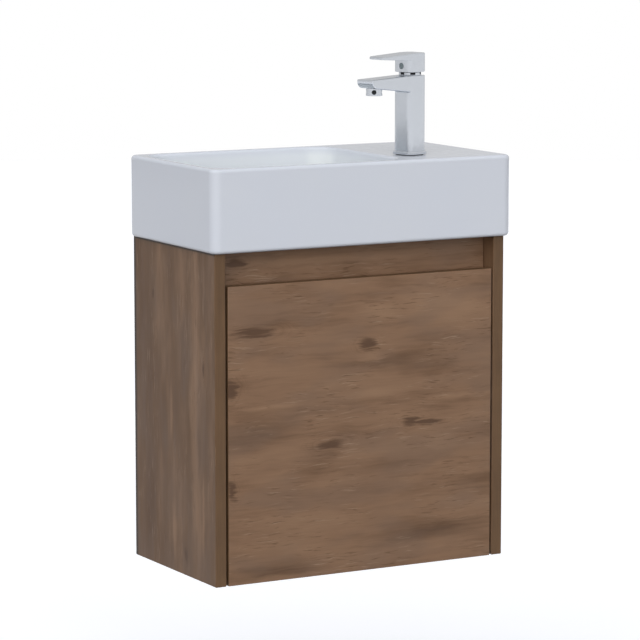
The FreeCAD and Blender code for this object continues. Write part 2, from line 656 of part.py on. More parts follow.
def add_basin():
    """The basin, with its holes for the tap and the waste."""
    body, corners = rounded_block("basin_body", ("basin_width", "basin_depth", "basin_height"),
                                  "basin_corner", ("0", "-basin_depth / 2", "unit_height"))
    top = value("basin_height")
    edges = rounded(body, "basin_edges", corners, "basin_edge",
                    lambda edge: level(edge, 0) or level(edge, top))
    low_x = "rim - basin_width / 2"
    low_y = "rim - basin_depth / 2"
    high_y = "basin_depth / 2 - rim"
    sketch = sketch_on(body, "bowl_outline", "XY_Plane", "basin_height")
    outline(sketch, rectangle(low_x, low_y, BOWL_RIGHT, high_y))
    bowl = extrude(body, "bowl", "Pocket", sketch, "bowl_depth")

    def in_bowl(edge):
        """Whether an edge's middle lies inside the bowl's outline."""
        middle = edge.BoundBox.Center
        across = value(low_x) - 0.01 < middle.x < value(BOWL_RIGHT) + 0.01
        return across and value(low_y) - 0.01 < middle.y < value(high_y) + 0.01

    walls = rounded(body, "bowl_corners", bowl, "bowl_corner",
                    lambda edge: upright(edge) and in_bowl(edge))
    floor_height = top - value("bowl_depth")
    floor = rounded(body, "bowl_floor_round", walls, "bowl_round", lambda edge: level(edge, floor_height))
    rounded(body, "bowl_rim", floor, "rim_edge", lambda edge: level(edge, top) and in_bowl(edge))

    left = "skirt - basin_width / 2"
    front = "skirt - basin_depth"
    depth = "basin_depth - 2 * skirt"
    hollow = box("basin_hollow", (left, front, "unit_height"),
                 ("basin_width - 2 * skirt", depth, "basin_height - bowl_depth - bowl_floor"))
    tap_room = box("tap_room", (BOWL_RIGHT + " + bowl_wall", front, "unit_height"),
                   ("deck_width - bowl_wall - skirt", depth, "basin_height - deck_thickness"))
    tap_hole = rod("tap_hole", "tap_hole_radius", "deck_thickness", (TAP_X, TAP_Y, DECK_UNDER))
    recess = rod("waste_recess", "waste_recess_radius", "waste_recess_depth", (WASTE_X, WASTE_Y, SEAT))
    waste_hole = rod("waste_hole", "waste_hole_radius", "bowl_floor", (WASTE_X, WASTE_Y, FLOOR_UNDER))
    node("basin", cut("basin_cut", body, [hollow, tap_room, tap_hole, recess, waste_hole]))


# Waste: a flanged tail clamped through the bowl floor, with a push plug

FLANGE = "(%s + waste_seal_thickness)" % SEAT
FLANGE_TOP = "(%s + waste_flange_thickness)" % FLANGE
HUB_FOOT = "(%s - hub_depth - hub_height)" % FLANGE_TOP
TAIL_HOLE = "tail_radius + fit_gap"
NUT_STACK = "bowl_floor + lower_washer_thickness + backnut_height + waste_seal_thickness"
NUT_DROP = "(%s - waste_recess_depth)" % NUT_STACK


def add_waste():
    """The waste, its washers and its nut."""
    tail = turned("waste_tail", [
        ("tail_bore_radius", "-tail_length"),
        ("tail_radius", "-tail_length"),
        ("tail_radius", "-%s - tail_groove_width" % NUT_DROP),
        ("tail_radius - tail_groove_depth", "-%s - tail_groove_width" % NUT_DROP),
        ("tail_radius - tail_groove_depth", "-" + NUT_DROP),
        ("tail_radius", "-" + NUT_DROP),
        ("tail_radius", "0"),
        ("waste_flange_radius", "0"),
        ("waste_flange_radius", "waste_flange_thickness"),
        ("tail_bore_radius", "waste_flange_thickness"),
    ], (WASTE_X, WASTE_Y, FLANGE))
    hub = rod("waste_hub", "hub_radius", "hub_height", (WASTE_X, WASTE_Y, HUB_FOOT))
    span = "(tail_radius + tail_bore_radius)"
    across = box("waste_rib_across", ("%s - %s / 2" % (WASTE_X, span), WASTE_Y + " - hub_rib / 2", HUB_FOOT),
                 (span, "hub_rib", "hub_height / 2"))
    along = box("waste_rib_along", (WASTE_X + " - hub_rib / 2", "%s - %s / 2" % (WASTE_Y, span), HUB_FOOT),
                ("hub_rib", span, "hub_height / 2"))
    bore = rod("waste_hub_bore", "clicker_radius + fit_gap", "hub_height", (WASTE_X, WASTE_Y, HUB_FOOT))
    node("waste_body", cut("waste", join("waste_solid", [tail, hub, across, along]), [bore]))
    node("waste_top_washer", ring("top_washer", "waste_flange_radius", TAIL_HOLE, "waste_seal_thickness",
                                  (WASTE_X, WASTE_Y, SEAT)))
    washer_foot = "(%s - lower_washer_thickness)" % FLOOR_UNDER
    node("waste_lower_washer", ring("lower_washer", "lower_washer_radius", TAIL_HOLE,
                                    "lower_washer_thickness", (WASTE_X, WASTE_Y, washer_foot)))
    nut_at = (WASTE_X, WASTE_Y, "%s - backnut_height" % washer_foot)
    node("waste_backnut", hexagon("backnut", "backnut_radius", TAIL_HOLE, "backnut_height", nut_at))


def hexagon(name, radius, hole, height, at):
    """A hexagonal nut."""
    prism = bind(doc.addObject("Part::Prism", name + "_prism"), Circumradius=radius, Height=height)
    prism.Polygon = 6
    return cut(name, place(prism, at), [rod(name + "_bore", hole, height, at)])


def add_plug():
    """The push plug, its seal and the sleeve that guides its stem."""
    guide = "plug_stem_radius + running_gap"
    node("clicker_cartridge", turned("clicker", [
        (guide, "0"),
        ("clicker_radius", "0"),
        ("clicker_radius", "hub_height"),
        ("hub_radius", "hub_height"),
        ("hub_radius", "hub_height + clicker_collar"),
        (guide, "hub_height + clicker_collar"),
    ], (WASTE_X, WASTE_Y, HUB_FOOT)))
    node("plug_seal", ring("plug_ring", "plug_seal_radius", "plug_seal_radius - plug_seal_width",
                           "plug_seal_thickness", (WASTE_X, WASTE_Y, FLANGE_TOP)))
    node("waste_plug", turned("plug", [
        ("0", "-plug_stem_length"),
        ("plug_stem_radius", "-plug_stem_length"),
        ("plug_stem_radius", "0"),
        ("plug_radius", "0"),
        ("plug_radius", "plug_thickness - plug_edge"),
        ("plug_radius - plug_edge", "plug_thickness"),
        ("0", "plug_thickness"),
    ], (WASTE_X, WASTE_Y, FLANGE_TOP + " + plug_seal_thickness")))


add_basin()
add_waste()
add_plug()

# Mixer tap: a square body with its spout to the left, clamped through the deck

RING = "(%s + base_seal_thickness)" % DECK
BODY_FOOT = "(%s + base_ring_thickness)" % RING
BODY_TOP = "(%s + tap_height)" % BODY_FOOT
AERATOR_SEAT = "(%s - aerator_seat)" % BODY_TOP
AERATOR_X = "(%s - aerator_reach)" % TAP_X
CARTRIDGE_FOOT = "(%s - nut_height - cartridge_height)" % BODY_TOP
STUD_X = "(%s + stud_offset)" % TAP_X


def turned_about_tap(thing, angle):
    """A copy of a thing that is turned by some degrees about the tap axis."""
    bundle = group(thing.Name + "_as_set", [thing])
    bundle.Placement = FreeCAD.Placement(FreeCAD.Vector(), FreeCAD.Rotation(UP, value(angle)))
    return bind(bundle, **{
        "Placement.Rotation.Angle": angle,
        "Placement.Base.x": "%s * (1 - cos(%s)) + %s * sin(%s)" % (TAP_X, angle, TAP_Y, angle),
        "Placement.Base.y": "%s * (1 - cos(%s)) - %s * sin(%s)" % (TAP_Y, angle, TAP_X, angle),
    })


def tap_node(label, thing):
    """A finished sub-part of the tap, turned as the tap is set."""
    return node(label, turned_about_tap(thing, "tap_turn"))


def add_tap_base():
    """The seal and the ring between the tap and the deck."""
    node("tap_base_seal", ring("base_seal", "base_ring_width / 2 - base_seal_inset", "base_hole_radius",
                               "base_seal_thickness", (TAP_X, TAP_Y, DECK)))
    at = (TAP_X, TAP_Y, RING)
    body, corners = rounded_block("base_ring", ("base_ring_width", "base_ring_width", "base_ring_thickness"),
                                  "tap_corner + (base_ring_width - tap_width) / 2", at)
    top = value("base_ring_thickness")
    rounded(body, "base_ring_edge", corners, "base_ring_edge", lambda edge: level(edge, top))
    hole = rod("base_hole", "base_hole_radius", "base_ring_thickness", at)
    tap_node("tap_base_ring", cut("base_ring_cut", body, [hole]))


def add_tap_body():
    """The body and spout, with the drilled ways for the water."""
    body, corners = rounded_block("tap_block", ("tap_width", "tap_width", "tap_height"), "tap_corner",
                                  (TAP_X, TAP_Y, BODY_FOOT))
    sketch = sketch_on(body, "spout_side", "XZ_Plane", "-spout_width / 2")
    outline(sketch, [
        ("0", "tap_height"),
        ("-tap_width / 2", "tap_height"),
        ("-spout_reach", "tap_height - spout_fall"),
        ("-spout_reach", "tap_height - spout_fall - spout_tip"),
        ("0", "tap_height - spout_root"),
    ])
    spout = extrude(body, "spout", "Pad", sketch, "spout_width")
    nose_low = value("tap_height - spout_fall - spout_tip")
    nose = rounded(body, "spout_nose", spout, "spout_nose",
                   lambda edge: level(edge, nose_low) and edge.BoundBox.XMax < 0.01 - value("spout_reach"))
    bend = -value("tap_width") / 2

    def on_spout(edge):
        """Whether an edge is one of the spout's own, apart from the slight bend in its top."""
        middle = edge.BoundBox.Center.x
        return middle < bend + 3 and not (abs(middle - bend) < 0.01 and edge.BoundBox.XLength < 0.01)

    sides = rounded(body, "spout_edges", nose, "spout_edge", on_spout)
    top = value("tap_height")
    rounded(body, "tap_top_edge", sides, "tap_edge",
            lambda edge: level(edge, top) and edge.BoundBox.Center.x > bend + 3)

    bore_length = "cartridge_height + nut_height"
    tools = [rod("cartridge_bore", "cartridge_radius + fit_gap", bore_length, (TAP_X, TAP_Y, CARTRIDGE_FOOT))]
    for side in SIDES:
        at = (TAP_X + " - inlet_offset", "%s + %d * inlet_spacing / 2" % (TAP_Y, side), BODY_FOOT)
        tools.append(rod("inlet", "inlet_radius", "inlet_depth", at))
        tools.append(rod("inlet_way", "waterway_radius", "%s - %s" % (CARTRIDGE_FOOT, BODY_FOOT), at))
    socket = "aerator_thread_length + aerator_washer_thickness"
    tools.append(rod("aerator_socket", "aerator_thread_radius + fit_gap", socket,
                     (AERATOR_X, TAP_Y, AERATOR_SEAT)))
    tools.append(rod("aerator_recess", "aerator_radius + fit_gap", "spout_root",
                     (AERATOR_X, TAP_Y, AERATOR_SEAT + " - spout_root")))
    tools.append(rod("spout_way", "waterway_radius", "aerator_reach - cartridge_radius",
                     (AERATOR_X, TAP_Y, "%s + %s" % (AERATOR_SEAT, socket)), RIGHT))
    tools.append(rod("stud_hole", "stud_radius + fit_gap", "stud_bite", (STUD_X, TAP_Y, BODY_FOOT)))
    tap_node("tap_body", cut("tap_cut", body, tools))


def add_aerator():
    """The aerator under the spout: housing, screen and washer."""
    foot = "(%s - aerator_drop)" % AERATOR_SEAT
    lip_radius = "aerator_bore_radius - aerator_lip"
    top = "aerator_drop + aerator_thread_length"
    housing = turned("aerator", [
        (lip_radius, "0"),
        ("aerator_radius", "0"),
        ("aerator_radius", "aerator_drop"),
        ("aerator_thread_radius", "aerator_drop"),
        ("aerator_thread_radius", top),
        ("aerator_bore_radius", top),
        ("aerator_bore_radius", "aerator_lip"),
        (lip_radius, "aerator_lip"),
    ], (AERATOR_X, TAP_Y, foot))
    air_holes = []
    reach = "aerator_radius * sqrt(0.5)"
    for side in SIDES:
        start = ("%s - %s" % (AERATOR_X, reach), "%s - %d * %s" % (TAP_Y, side, reach),
                 foot + " + air_hole_height")
        air_holes.append(rod("air_hole", "air_hole_radius", "2 * aerator_radius", start,
                             FreeCAD.Vector(1, side, 0)))
    tap_node("aerator_housing", cut("aerator_cut", housing, air_holes))
    tap_node("aerator_screen", rod("screen", "aerator_bore_radius - fit_gap", "screen_thickness",
                                   (AERATOR_X, TAP_Y, foot + " + aerator_lip")))
    washer = ring("screen_washer", "aerator_thread_radius", lip_radius, "aerator_washer_thickness",
                  (AERATOR_X, TAP_Y, "%s + %s" % (foot, top)))
    tap_node("aerator_washer", washer)


def add_tap_fixing():
    """The stud, washers and nut that clamp the tap to the deck."""
    stud_hole = "stud_radius + fit_gap"
    rubber_foot = "(%s - rubber_washer_thickness)" % DECK_UNDER
    steel_foot = "(%s - steel_washer_thickness)" % rubber_foot
    nut_foot = "(%s - stud_nut_height)" % steel_foot
    stud_foot = "(%s - stud_tail)" % nut_foot
    for label, foot, thickness in (("tap_rubber_washer", rubber_foot, "rubber_washer_thickness"),
                                   ("tap_steel_washer", steel_foot, "steel_washer_thickness")):
        disc = rod(label + "_disc", "horseshoe_radius", thickness, (TAP_X, TAP_Y, foot))
        slot_low = (TAP_X + " - horseshoe_radius", TAP_Y + " - horseshoe_slot / 2", foot)
        slot = box(label + "_slot", slot_low,
                   ("horseshoe_radius + stud_offset - horseshoe_bridge", "horseshoe_slot", thickness))
        hole = rod(label + "_hole", stud_hole, thickness, (STUD_X, TAP_Y, foot))
        tap_node(label, cut(label + "_cut", disc, [slot, hole]))
    tap_node("tap_fixing_nut", hexagon("stud_nut", "stud_nut_radius", stud_hole, "stud_nut_height",
                                       (STUD_X, TAP_Y, nut_foot)))
    tap_node("tap_fixing_stud", rod("stud", "stud_radius", "%s + stud_bite - %s" % (BODY_FOOT, stud_foot),
                                    (STUD_X, TAP_Y, stud_foot)))


# Cartridge and lever: a carrier turns in the cartridge, and the stem tilts on a pin in the carrier

CARRIER_FOOT = "(%s - carrier_height)" % BODY_TOP
PIVOT = "(%s - pivot_depth)" % BODY_TOP
STEM_FOOT = "(%s - stem_foot)" % PIVOT
LEVER_FOOT = "(%s + neck_height)" % BODY_TOP


def add_cartridge():
    """The cartridge with its nut and neck ring, and the carrier with its pin."""
    well = "cartridge_height + nut_height - carrier_height - carrier_gap"
    well_radius = "carrier_radius + carrier_gap"
    node("cartridge_body", turned("cartridge", [
        ("0", "0"),
        ("cartridge_radius", "0"),
        ("cartridge_radius", "cartridge_height"),
        (well_radius, "cartridge_height"),
        (well_radius, well),
        ("0", well),
    ], (TAP_X, TAP_Y, CARTRIDGE_FOOT)))
    node("cartridge_nut", ring("holding_nut", "cartridge_radius", well_radius, "nut_height",
                               (TAP_X, TAP_Y, CARTRIDGE_FOOT + " + cartridge_height")))
    neck_at = (TAP_X, TAP_Y, BODY_TOP)
    neck_height = "neck_height - neck_gap"
    neck = ring("neck", "neck_radius", "neck_radius - neck_wall", neck_height, neck_at)
    seal_radius = "neck_radius - neck_wall - fit_gap"
    node("neck_seal", ring("sliding_seal", seal_radius, well_radius, neck_height, neck_at))
    slot_at = (TAP_X + " - neck_radius", TAP_Y + " - key_slot_width / 2",
               BODY_TOP + " + neck_height - neck_gap - key_slot_depth")
    key_slots = []
    for angle in ("0", "60", "120"):
        slot = box("key_slot", slot_at, ("2 * neck_radius", "key_slot_width", "key_slot_depth"))
        key_slots.append(turned_about_tap(slot, angle))
    tap_node("neck_ring", cut("neck_cut", neck, key_slots))
    disc = rod("carrier_disc", "carrier_radius", "carrier_height", (TAP_X, TAP_Y, CARRIER_FOOT))
    half_slot = "(stem_width / 2 + stem_swing)"
    half_width = "(stem_width / 2 + carrier_gap)"
    slot = box("carrier_slot", ("%s - %s" % (TAP_X, half_slot), "%s - %s" % (TAP_Y, half_width),
                                STEM_FOOT + " - stem_swing / 2"),
               ("2 * " + half_slot, "2 * " + half_width, "stem_foot + pivot_depth + stem_swing / 2"))
    pin_at = (TAP_X, TAP_Y + " - stem_pin_length / 2", PIVOT)
    pin_hole = rod("carrier_pin_hole", "stem_pin_radius + running_gap", "stem_pin_length", pin_at, BACK)
    tap_node("cartridge_carrier", cut("carrier", disc, [slot, pin_hole]))
    tap_node("stem_pin", rod("pivot_pin", "stem_pin_radius", "stem_pin_length", pin_at, BACK))
    stem = box("stem_bar", (TAP_X + " - stem_width / 2", TAP_Y + " - stem_width / 2", STEM_FOOT),
               ("stem_width", "stem_width", "stem_foot + stem_height"))
    tap_node("cartridge_stem", cut("stem", stem, [pin_hole]))


def add_lever():
    """The lever block with its plate, the screw that holds it on the stem, and the cap over the screw."""
    body, corners = rounded_block("lever_block", ("tap_width", "tap_width", "lever_height"), "tap_corner",
                                  (TAP_X, TAP_Y, LEVER_FOOT))
    sketch = sketch_on(body, "lever_plan", "XY_Plane", "lever_height - lever_root")
    outline(sketch, rectangle("-lever_reach", "-lever_width / 2", "0", "lever_width / 2"))
    plate = extrude(body, "lever_plate", "Pad", sketch, "lever_root")
    near_tip = 1 - value("lever_reach")
    rounded(body, "lever_tip_corners", plate, "lever_tip_corner",
            lambda edge: upright(edge) and edge.BoundBox.Center.x < near_tip)
    under = sketch_on(body, "lever_under", "XZ_Plane", "lever_width / 2")
    outline(under, [
        ("-tap_width / 2", "lever_height - lever_root"),
        ("-lever_reach", "lever_height - lever_fall - lever_tip"),
        ("-lever_reach", "lever_height - lever_root"),
    ])
    extrude(body, "lever_taper", "Pocket", under, "lever_width")
    over = sketch_on(body, "lever_over", "XZ_Plane", "tap_width / 2")
    outline(over, [
        ("-lever_bend", "lever_height"),
        ("-lever_reach", "lever_height - lever_fall"),
        ("-lever_reach", "lever_height"),
    ])
    slope = extrude(body, "lever_slope", "Pocket", over, "tap_width")
    top = value("lever_height")
    fall = value("lever_fall / (lever_reach - lever_bend)")
    bend = -value("lever_bend")

    def on_top(edge):
        """Whether an edge bounds the top, which is level over the block and slopes along the plate."""
        points = [edge.valueAt(edge.FirstParameter), edge.valueAt(edge.LastParameter), edge.CenterOfMass]
        along_bend = edge.BoundBox.XLength < 0.01 and abs(points[0].x - bend) < 0.01
        return not along_bend and all(abs(top + min(p.x - bend, 0) * fall - p.z) < 0.02 for p in points)

    rounded(body, "lever_top_edge", slope, "lever_edge", on_top)
    bevel = sketch_on(body, "relief_side", "XZ_Plane", "tap_width / 2")
    outline(bevel, [
        ("tap_width / 2 - relief_length", "0"),
        ("tap_width / 2", "0"),
        ("tap_width / 2", "relief_height"),
    ])
    extrude(body, "relief", "Pocket", bevel, "tap_width")
    socket_foot = "(%s + lever_cavity_height)" % LEVER_FOOT
    socket = "(stem_width + 2 * fit_gap)"
    face_x = TAP_X + " - tap_width / 2"
    screw_z = LEVER_FOOT + " + grub_height"
    stem_face = "(tap_width / 2 - stem_width / 2)"
    tools = [
        rod("lever_cavity", "lever_cavity_radius", "lever_cavity_height", (TAP_X, TAP_Y, LEVER_FOOT)),
        box("stem_socket", ("%s - %s / 2" % (TAP_X, socket), "%s - %s / 2" % (TAP_Y, socket), socket_foot),
            (socket, socket, "%s + stem_height + fit_gap - %s" % (PIVOT, socket_foot))),
        rod("grub_hole", "grub_radius + fit_gap", stem_face, (face_x, TAP_Y, screw_z), RIGHT),
        rod("index_recess", "index_radius + fit_gap", "index_depth", (face_x, TAP_Y, screw_z), RIGHT),
    ]
    tap_node("lever_handle", cut("lever", body, tools))
    grub_x = "%s - stem_width / 2 - grub_length" % TAP_X
    tap_node("lever_grub_screw", rod("grub", "grub_radius", "grub_length", (grub_x, TAP_Y, screw_z), RIGHT))
    tap_node("lever_index_cap", rod("index", "index_radius", "index_depth", (face_x, TAP_Y, screw_z), RIGHT))


add_tap_base()
add_tap_body()
add_aerator()
add_tap_fixing()
add_cartridge()
add_lever()


def check_and_export():
    """Stops on a failed object or shape, and writes each sub-part to its own file."""
    doc.recompute()
    for thing in doc.Objects:
        if "Invalid" in thing.State or "Error" in thing.State:
            raise RuntimeError("%s failed: %s" % (thing.Label, thing.State))
    for thing in nodes:
        if thing.Shape.isNull() or not thing.Shape.isValid():
            raise RuntimeError("%s has no valid shape" % thing.Label)
    os.makedirs("parts", exist_ok=True)
    for thing in nodes:
        thing.Shape.exportStep("parts/%s.step" % thing.Label)
        bounds = thing.Shape.BoundBox
        print("%-22s %2d solids %10.0f mm3  x %6.1f %6.1f  y %6.1f %6.1f  z %6.1f %6.1f" % (
            thing.Label, len(thing.Shape.Solids), thing.Shape.Volume,
            bounds.XMin, bounds.XMax, bounds.YMin, bounds.YMax, bounds.ZMin, bounds.ZMax))


check_and_export()
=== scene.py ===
"""Wall-hung vanity unit with basin: finishes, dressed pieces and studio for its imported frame."""

import math

import bmesh
import bpy
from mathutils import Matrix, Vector


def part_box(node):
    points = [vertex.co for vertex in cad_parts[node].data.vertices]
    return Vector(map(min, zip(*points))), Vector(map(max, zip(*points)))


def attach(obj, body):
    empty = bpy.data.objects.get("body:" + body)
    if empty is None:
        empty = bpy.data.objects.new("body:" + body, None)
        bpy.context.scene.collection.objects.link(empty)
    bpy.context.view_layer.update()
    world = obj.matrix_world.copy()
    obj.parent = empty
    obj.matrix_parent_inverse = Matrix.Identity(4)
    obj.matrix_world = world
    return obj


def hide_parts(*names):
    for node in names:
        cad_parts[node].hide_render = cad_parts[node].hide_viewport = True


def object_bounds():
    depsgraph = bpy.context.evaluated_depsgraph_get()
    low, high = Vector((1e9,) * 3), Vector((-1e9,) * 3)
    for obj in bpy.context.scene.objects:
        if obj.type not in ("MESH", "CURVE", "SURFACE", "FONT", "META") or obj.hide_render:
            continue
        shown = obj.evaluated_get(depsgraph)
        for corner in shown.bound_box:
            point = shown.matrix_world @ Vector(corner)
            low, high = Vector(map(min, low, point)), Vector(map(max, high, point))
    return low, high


bl_info = {
    "name": "Vanity Unit With Basin",
    "version": (1, 0, 0),
    "blender": (4, 5, 0),
    "location": "3D View > Sidebar > Vanity Unit",
    "description": "Dresses the packed frame of a wall-hung vanity unit and sets up its studio",
    "category": "Object",
}

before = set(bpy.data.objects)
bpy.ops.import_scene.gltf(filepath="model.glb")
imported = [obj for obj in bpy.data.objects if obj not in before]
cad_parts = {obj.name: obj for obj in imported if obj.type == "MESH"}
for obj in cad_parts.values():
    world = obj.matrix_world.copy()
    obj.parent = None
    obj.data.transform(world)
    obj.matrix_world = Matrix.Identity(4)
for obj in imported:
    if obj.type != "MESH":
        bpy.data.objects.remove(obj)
CAD_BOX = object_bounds()
MM = 0.001
SHARP_ANGLE = math.radians(30)
WHITE = (1.0, 1.0, 1.0)

# Kinds of node that are used often. A range takes its value at socket 0 and turns the span from 1 to 2 into
# the span from 3 to 4. A mix takes its share at socket 0, with two numbers at 2 and 3 or colours at 6 and 7.
MATH = "ShaderNodeMath"
VECTOR = "ShaderNodeVectorMath"
RANGE = "ShaderNodeMapRange"
MIX = "ShaderNodeMix"
NOISE = "ShaderNodeTexNoise"
BUMP = "ShaderNodeBump"
SPLIT = "ShaderNodeSeparateXYZ"
JOIN = "ShaderNodeCombineXYZ"


# Shared helpers

def linear(colour):
    """An sRGB hex colour as linear red, green and blue."""
    parts = [int(colour[start:start + 2], 16) / 255 for start in (1, 3, 5)]
    return [part / 12.92 if part <= 0.04045 else ((part + 0.055) / 1.055) ** 2.4 for part in parts]


def rgba(colour, *shares):
    """A linear colour with full alpha, times a share, or times one for each of red, green and blue."""
    return [min(1.0, part * share) for part, share in zip(colour, (shares or (1.0,)) * 3)] + [1.0]


def add_node(tree, kind, inputs=None, **settings):
    """Adds a node with its settings, and gives each input a value, or a link from a socket or a node."""
    node = tree.nodes.new(kind)
    for name, setting in settings.items():
        setattr(node, name, setting)
    for name, source in (inputs or {}).items():
        if isinstance(source, bpy.types.Node):
            source = next(socket for socket in source.outputs if socket.enabled)
        if isinstance(source, bpy.types.NodeSocket):
            tree.links.new(source, node.inputs[name])
        else:
            node.inputs[name].default_value = source
    return node


def colour_property(name, colour, description):
    """A colour that the sidebar shows."""
    return bpy.props.FloatVectorProperty(name=name, description=description, subtype="COLOR", size=3,
                                         min=0.0, max=1.0, default=linear(colour))


def length_property(name, length, description):
    """A length in metres that the sidebar shows in the scene's units."""
    return bpy.props.FloatProperty(name=name, description=description, subtype="DISTANCE", unit="LENGTH",
                                   min=0.0, default=length, precision=5)


def angle_property(name, degrees, description):
    """An angle that the sidebar shows in degrees."""
    return bpy.props.FloatProperty(name=name, description=description, subtype="ANGLE", unit="ROTATION",
                                   default=math.radians(degrees))


def level_property(name, level, description, most=1.0):
    """A brightness or a strength, from none to the most that makes sense."""
    return bpy.props.FloatProperty(name=name, description=description, min=0.0, max=most, default=level)


# Settings that a user would change

class VanityDecor(bpy.types.PropertyGroup):
    """Colours and edge sizes of the wood-decor boards."""

    door_brown: colour_property("Door brown", "#82644c", "Middle tone of the door and the rail")
    side_brown: colour_property("Side brown", "#694e36", "Middle tone of the side panels")
    pale_grain: colour_property("Pale grain", "#927359", "Palest figure in the decor")
    dark_grain: colour_property("Dark grain", "#573d27", "Darkest figure in the decor")
    knot_brown: colour_property("Knot brown", "#523a28", "Heart of a knot")
    cool_patch: colour_property("Cool patch", "#6d594b", "Greyer patches in the decor")
    pale_fleck: colour_property("Pale fleck", "#a08770", "Short pale flecks in the decor")
    band_brown: colour_property("Edge band", "#644b33", "Plain edge band on the boards' edges")
    carcass_grey: colour_property("Carcass face", "#6e5f50", "Plain inside faces and hidden rails")
    board_edge: length_property("Board edge", 0.8 * MM, "Rounding of the boards' edges")
    side_edge: length_property("Side edge", 1.2 * MM, "Rounding of the side boards' edges")
    # Painted shadow: the dark band along the side boards' top edges stands for the basin's shadow, and the
    # same colour makes them darker towards their rear edges
    top_shadow_and_rear_brown: colour_property("Edge shadow", "#29221e", "Painted shadow and darkening on the side boards' top and rear edges")
    top_shadow_width: length_property("Top shadow", 3.4 * MM, "Width of the painted shadow under the basin")
    rear_dark_width: length_property("Rear darkening", 9.0 * MM, "Width of the darkening along the rear edge")


class VanityFittings(bpy.types.PropertyGroup):
    """Colours and edge sizes of the basin, the tap and the hardware."""

    china_white: colour_property("China white", "#d6d9e0", "Glazed body of the basin")
    chrome_tint: colour_property("Chrome", "#cfd3d9", "Reflection of the chrome plate")
    nickel_tint: colour_property("Nickel", "#b7b2a8", "Reflection of the nickel plate")
    zinc_tint: colour_property("Zinc", "#a9aeb3", "Reflection of the zinc plate")
    brass_tint: colour_property("Brass", "#c2a263", "Reflection of the turned brass")
    rubber_black: colour_property("Rubber", "#2a2a2c", "Seals, washers and bumpers")
    acetal_white: colour_property("Acetal", "#dedcd3", "Moulded white plastic")
    cap_grey: colour_property("Index cap", "#839093", "Grey plastic of the index cap")
    nylon_black: colour_property("Nylon", "#26282b", "Cartridge and aerator insert")
    beech_tan: colour_property("Beech", "#c9a77c", "Wooden dowels")
    metal_edge: length_property("Metal edge", 0.35 * MM, "Rounding of sharp metal edges")
    lock_edge: length_property("Lock edge", 0.25 * MM, "Rounding of the cam locks' edges")
    bumper_edge: length_property("Bumper edge", 0.6 * MM, "Rounding of the door bumpers")
    cap_edge: length_property("Cap edge", 0.4 * MM, "Rounding of the index cap")
    screen_pitch: length_property("Screen pitch", 1.9 * MM, "Distance between the screen's holes")


class VanityStudio(bpy.types.PropertyGroup):
    """Camera, floor and light."""

    lens: bpy.props.FloatProperty(name="Lens", description="Focal length on a 36 mm sensor", min=1.0,
                                  default=184.2, unit="CAMERA")
    place: bpy.props.FloatVectorProperty(name="Camera place", description="Where the camera stands",
                                         subtype="TRANSLATION", unit="LENGTH",
                                         default=(-2.134, -3.972, 0.561))
    turn: angle_property("Turn", 29.01, "Camera turned right of straight ahead")
    tilt: angle_property("Tilt", 8.10, "Camera tilted down")
    floor_drop: length_property("Floor drop", 0.30, "Floor below the cabinet's underside")
    floor_reach: length_property("Floor reach", 9.0, "Radius of the floor")
    floor_white: level_property("Floor white", 0.95, "Brightness of the floor to the eye")
    floor_bounce: level_property("Floor bounce", 0.12, "Brightness of the floor as it throws light back")
    floor_glow: level_property("Floor glow", 0.30, "Glow that lifts the floor to white")
    sky: level_property("Sky", 0.60, "Strength of the even studio light", 10.0)
    sky_tint: colour_property("Sky tint", "#f4f7ff", "Colour of the even studio light")
    room: level_property("Room", 0.86, "Brightness of the room in reflections")
    wall: level_property("Wall", 0.65, "Brightness of the wall in reflections")
    key: level_property("Key", 2.20, "Strength of the soft key light", 10.0)
    key_spread: angle_property("Key spread", 75.0, "Width of the key light, which softens its shadows")
    key_way: bpy.props.FloatVectorProperty(name="Key way", description="Way from the unit to the key light",
                                           subtype="DIRECTION", default=(-0.52, -0.79, 0.33))


# Materials of the boards

def new_finish(name):
    """A new, empty material; gives the material and its tree."""
    material = bpy.data.materials.new(name)
    material.use_nodes = True
    material.node_tree.nodes.clear()
    return material, material.node_tree


def surfaced(material, inputs):
    """Gives a material its principled shader, with a value or a link for each input that is named."""
    tree = material.node_tree
    shader = add_node(tree, "ShaderNodeBsdfPrincipled", inputs)
    add_node(tree, "ShaderNodeOutputMaterial", {"Surface": shader})
    return material


def millimetres(tree):
    """Object coordinates in millimetres."""
    place = add_node(tree, "ShaderNodeTexCoord")
    return add_node(tree, VECTOR, {0: place.outputs["Object"], "Scale": 1.0 / MM}, operation="SCALE")


def mottle(tree, vector, size, detail=2.0):
    """A soft figure between 0 and 1, as many millimetres long, high and deep as its size says."""
    spread = add_node(tree, VECTOR, {0: vector, 1: [1.0 / part for part in size]}, operation="MULTIPLY")
    return add_node(tree, NOISE, {"Vector": spread, "Scale": 1.0, "Detail": detail, "Roughness": 0.55})


def board_axes(tree, grain):
    """Millimetres along the grain, across it and through the board: lying X, level Y or upright Z."""
    split = add_node(tree, SPLIT, {0: millimetres(tree)})
    order = {"X": (0, 2, 1), "Y": (0, 1, 2), "Z": (2, 1, 0)}[grain]
    return add_node(tree, JOIN, {slot: split.outputs[axis] for slot, axis in enumerate(order)})


# How the print wavers, in millimetres along, across and through a board: the size of a wave and its span
WAVE_SIZE = (38, 16, 40)
WAVE_SPAN = (26, 9, 0)


def wavy_axes(tree, flat):
    """A board's axes with a slow drift, so that what is printed on them wavers."""
    spread = add_node(tree, VECTOR, {0: flat, 1: [1.0 / part for part in WAVE_SIZE]}, operation="MULTIPLY")
    shake = add_node(tree, NOISE, {"Vector": spread, "Scale": 1.0, "Detail": 3.0})
    centred = add_node(tree, VECTOR, {0: shake.outputs["Color"], 1: (0.5, 0.5, 0.5)}, operation="SUBTRACT")
    drift = add_node(tree, VECTOR, {0: centred, 1: WAVE_SPAN}, operation="MULTIPLY")
    return add_node(tree, VECTOR, {0: flat, 1: drift}, operation="ADD")


